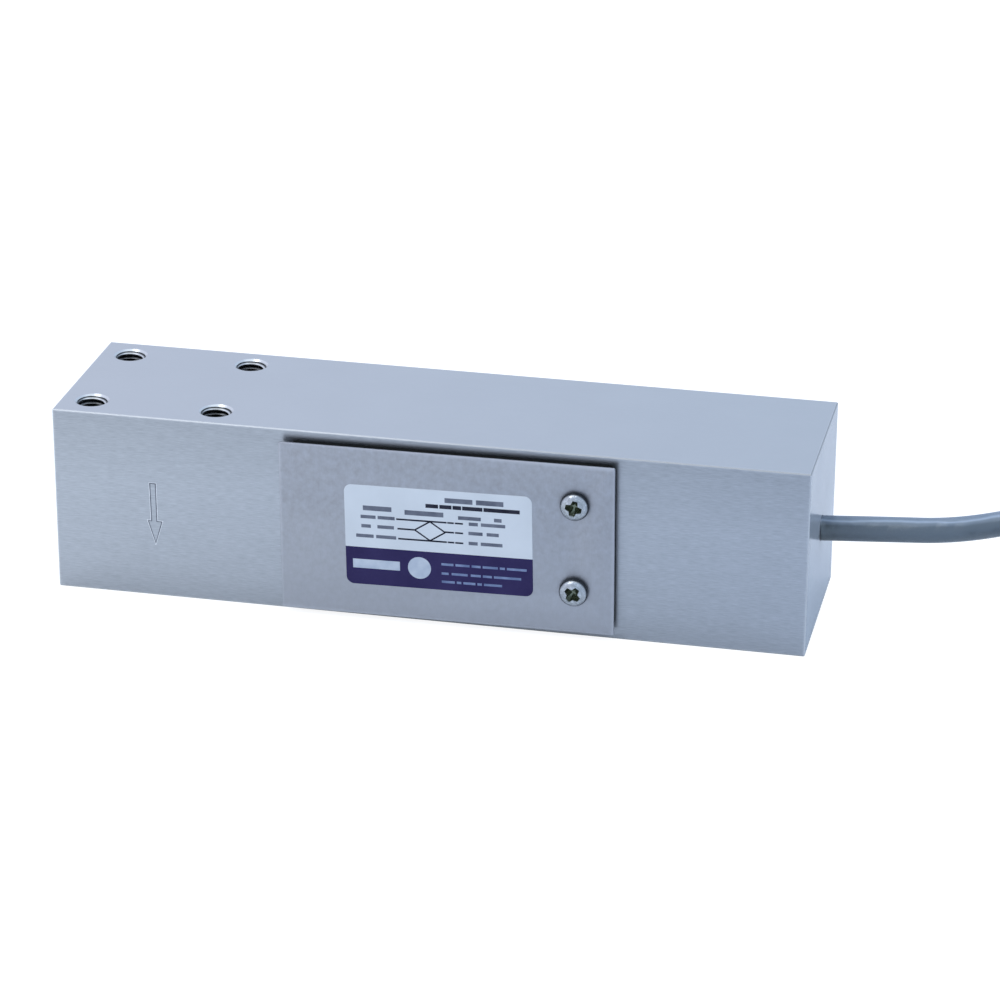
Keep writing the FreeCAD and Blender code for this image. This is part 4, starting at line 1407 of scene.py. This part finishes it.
class LOADCELL_OT_screws(bpy.types.Operator):
    """Adds the four pan head screws of the covers"""

    bl_idname = "load_cell.add_screws"
    bl_label = "Add Screws"

    def execute(self, context):
        places = []
        facings = []
        for side in (-1, 1):
            for z, turn in zip(SCREW_HEIGHTS, SCREW_TURNS):
                places.append(point(SCREW_X, side * COVER_FACE_Y, z))
                facings.append((0.0, math.radians(turn), 0.0 if side < 0 else math.pi))
        source = points_source("screw_points", places, facings)
        screw = self.screw()
        values = {"Screw": screw, "Material": finish("screw_steel")}
        screws = bake("cover_screws", source, copies_tree(), values, 40.0)
        bpy.data.objects.remove(screw)
        names = [face + "_cover_screw_" + level for face in ("front", "rear") for level in ("lower", "upper")]
        belongs(screws, "screw_steel", *names)
        return {"FINISHED"}

    def screw(self):
        """One screw whose head points to -Y, with a tapered cross recess."""
        head = sizes().screw_head / MM
        profile = list(SHANK) + [(head - inset, out) for inset, out in DOME]
        shape = bmesh.new()
        rings = []
        for radius, out in profile:
            rings.append([point(u, -out, v) for u, v in circle_outline(0.0, 0.0, radius, 48)])
        rows, _ = loft(shape, rings)
        for row, out in ((rows[0], SHANK[0][1]), (rows[-1], DOME_TOP)):
            middle = shape.verts.new(point(0.0, -out, 0.0))
            for one, two in neighbours(row):
                shape.faces.new((one, two, middle))
        body = mesh_piece("screw_body", shape, [], 40.0)
        cutter = self.recess()
        cut = body.modifiers.new("recess", "BOOLEAN")
        cut.operation = "DIFFERENCE"
        cut.solver = "EXACT"
        cut.object = cutter
        screw = linked("screw", evaluated(body))
        bpy.data.objects.remove(body)
        bpy.data.objects.remove(cutter)
        return screw

    def recess(self):
        """Cross with tapered arms that narrows towards its floor."""
        outline = [turned(along, across, 90.0 * arm) for arm in range(4) for along, across in RECESS_ARM]
        shape = bmesh.new()
        rings = [[point(u * share, -out, v * share) for u, v in outline] for out, share in RECESS_LEVELS]
        loft(shape, rings, capped=True)
        return mesh_piece("recess_cutter", shape, [])


class LOADCELL_OT_label(bpy.types.Operator):
    """Adds the plain label with its two fields and simple shapes"""

    bl_idname = "load_cell.add_label"
    bl_label = "Add Label"

    def execute(self, context):
        self.settle = on_side(-1, LABEL_TURN, LABEL_CENTER, COVER_FACE_Y)
        self.film()
        self.print_shapes()
        return {"FINISHED"}

    def film(self):
        """Rounded film, its lower field in the band's colour."""
        length, height = LABEL_SIZE
        split = -height / 2 + sizes().label_band / MM
        ring = []
        for one, two in neighbours(rounded_outline(length, height, LABEL_CORNER, 8)):
            ring.append(one)
            if (one[1] - split) * (two[1] - split) < 0:
                ring.append((one[0], split))
        shape = bmesh.new()
        rings = []
        for outward, depth in FILM_LEVELS:
            wide = 1 + 2 * outward / length
            tall = 1 + 2 * outward / height
            rings.append([self.settle(u * wide, v * tall, depth) for u, v in ring])
        rows, faces = loft(shape, rings)
        lower = [(one[1] + two[1]) / 2 < split for one, two in neighbours(ring)]
        for index, face in enumerate(faces):
            face.material_index = int(lower[index % len(ring)])
        for row in (rows[0], rows[-1]):
            shape.faces.new([vert for vert, spot in zip(row, ring) if spot[1] >= split])
            face = shape.faces.new([vert for vert, spot in zip(row, ring) if spot[1] <= split])
            face.material_index = 1
        label = mesh_piece("label_film_sheet", shape, [finish("label_film"), finish("label_band")])
        belongs(label, "label_film", "rating_label")

    def print_shapes(self):
        """Bars, lead lines and the bridge symbol, a hair proud of the film."""
        shape = bmesh.new()
        for index, (ink, rows) in enumerate(INK_ROWS.items()):
            strokes = [((first, v), (last, v), width) for v, width, spans in rows for first, last in spans]
            if ink == "label_ink":
                strokes += [(one, two, BRIDGE_WIDTH) for one, two in neighbours(BRIDGE)]
            outlines = [self.stroke(*stroke) for stroke in strokes]
            if ink == "label_pale_ink":
                outlines.append(circle_outline(*DISC, 48))
            for outline in outlines:
                before = set(shape.faces)
                rings = [[self.settle(u, v, depth) for u, v in outline] for depth in INK_DEPTHS]
                loft(shape, rings, capped=True)
                for face in set(shape.faces) - before:
                    face.material_index = index
        belongs(mesh_piece("label_print", shape, [finish(ink) for ink in INK_ROWS]), "label_film")

    def stroke(self, first, last, width):
        """Outline of a bar from one place to another."""
        first = Vector(first)
        last = Vector(last)
        run = last - first
        side = Vector((-run.y, run.x)).normalized() * (width / 2)
        return [first + side, last + side, last - side, first - side]


class LOADCELL_OT_arrow(bpy.types.Operator):
    """Engraves the outlined arrow that shows the load's direction"""

    bl_idname = "load_cell.add_arrow"
    bl_label = "Add Load Arrow"

    def execute(self, context):
        for name, line in ARROW_LINES.items():
            belongs(self.ribbon(name, *line), "bar_aluminium")
        return {"FINISHED"}

    def ribbon(self, name, outward, width, height, material):
        """Closed ribbon along the arrow's outline, its middle moved outward."""
        shape = bmesh.new()
        rings = []
        for index, spot in enumerate(ARROW):
            here = Vector(spot)
            before = (here - Vector(ARROW[index - 1])).normalized()
            after = (Vector(ARROW[(index + 1) % len(ARROW)]) - here).normalized()
            out_after = Vector((-after.y, after.x))
            out = (Vector((-before.y, before.x)) + out_after).normalized()
            stretch = min(MITRE_LIMIT, 1.0 / max(0.3, out.dot(out_after)))
            near = here + out * (outward - width / 2) * stretch
            far = here + out * (outward + width / 2) * stretch
            corners = ((near, -ARROW_SINK), (near, height), (far, height), (far, -ARROW_SINK))
            rings.append([point(end.x, -FACE_Y - proud, end.y) for end, proud in corners])
        loft(shape, rings, closed=True)
        return mesh_piece(name, shape, [finish(material)])


class LOADCELL_PT_panel(bpy.types.Panel):
    """Lists the load cell's pieces"""

    bl_idname = "LOADCELL_PT_panel"
    bl_label = "Single Point Load Cell"
    bl_space_type = "VIEW_3D"
    bl_region_type = "UI"
    bl_category = "Load Cell"

    def draw(self, context):
        column = self.layout.column()
        for operator in OPERATORS:
            column.operator(operator.bl_idname)
        for group in (sizes(), colours()):
            for name in group.__annotations__:
                column.prop(group, name)


OPERATORS = (
    LOADCELL_OT_stage,
    LOADCELL_OT_cable,
    LOADCELL_OT_finishes,
    LOADCELL_OT_threads,
    LOADCELL_OT_covers,
    LOADCELL_OT_screws,
    LOADCELL_OT_label,
    LOADCELL_OT_arrow,
)
CLASSES = (LoadCellSizes, LoadCellColours) + OPERATORS + (LOADCELL_PT_panel,)


def register():
    for item in CLASSES:
        bpy.utils.register_class(item)
    bpy.types.Scene.load_cell_sizes = PointerProperty(type=LoadCellSizes)
    bpy.types.Scene.load_cell_colours = PointerProperty(type=LoadCellColours)


def unregister():
    del bpy.types.Scene.load_cell_colours
    del bpy.types.Scene.load_cell_sizes
    for item in reversed(CLASSES):
        bpy.utils.unregister_class(item)


def main():
    register()
    bpy.ops.load_cell.add_stage()
    bpy.ops.load_cell.add_cable()
    bpy.ops.load_cell.add_finishes()
    bpy.ops.load_cell.add_threads()
    bpy.ops.load_cell.add_covers()
    bpy.ops.load_cell.add_screws()
    bpy.ops.load_cell.add_label()
    bpy.ops.load_cell.add_arrow()


if __name__ == "__main__":
    main()
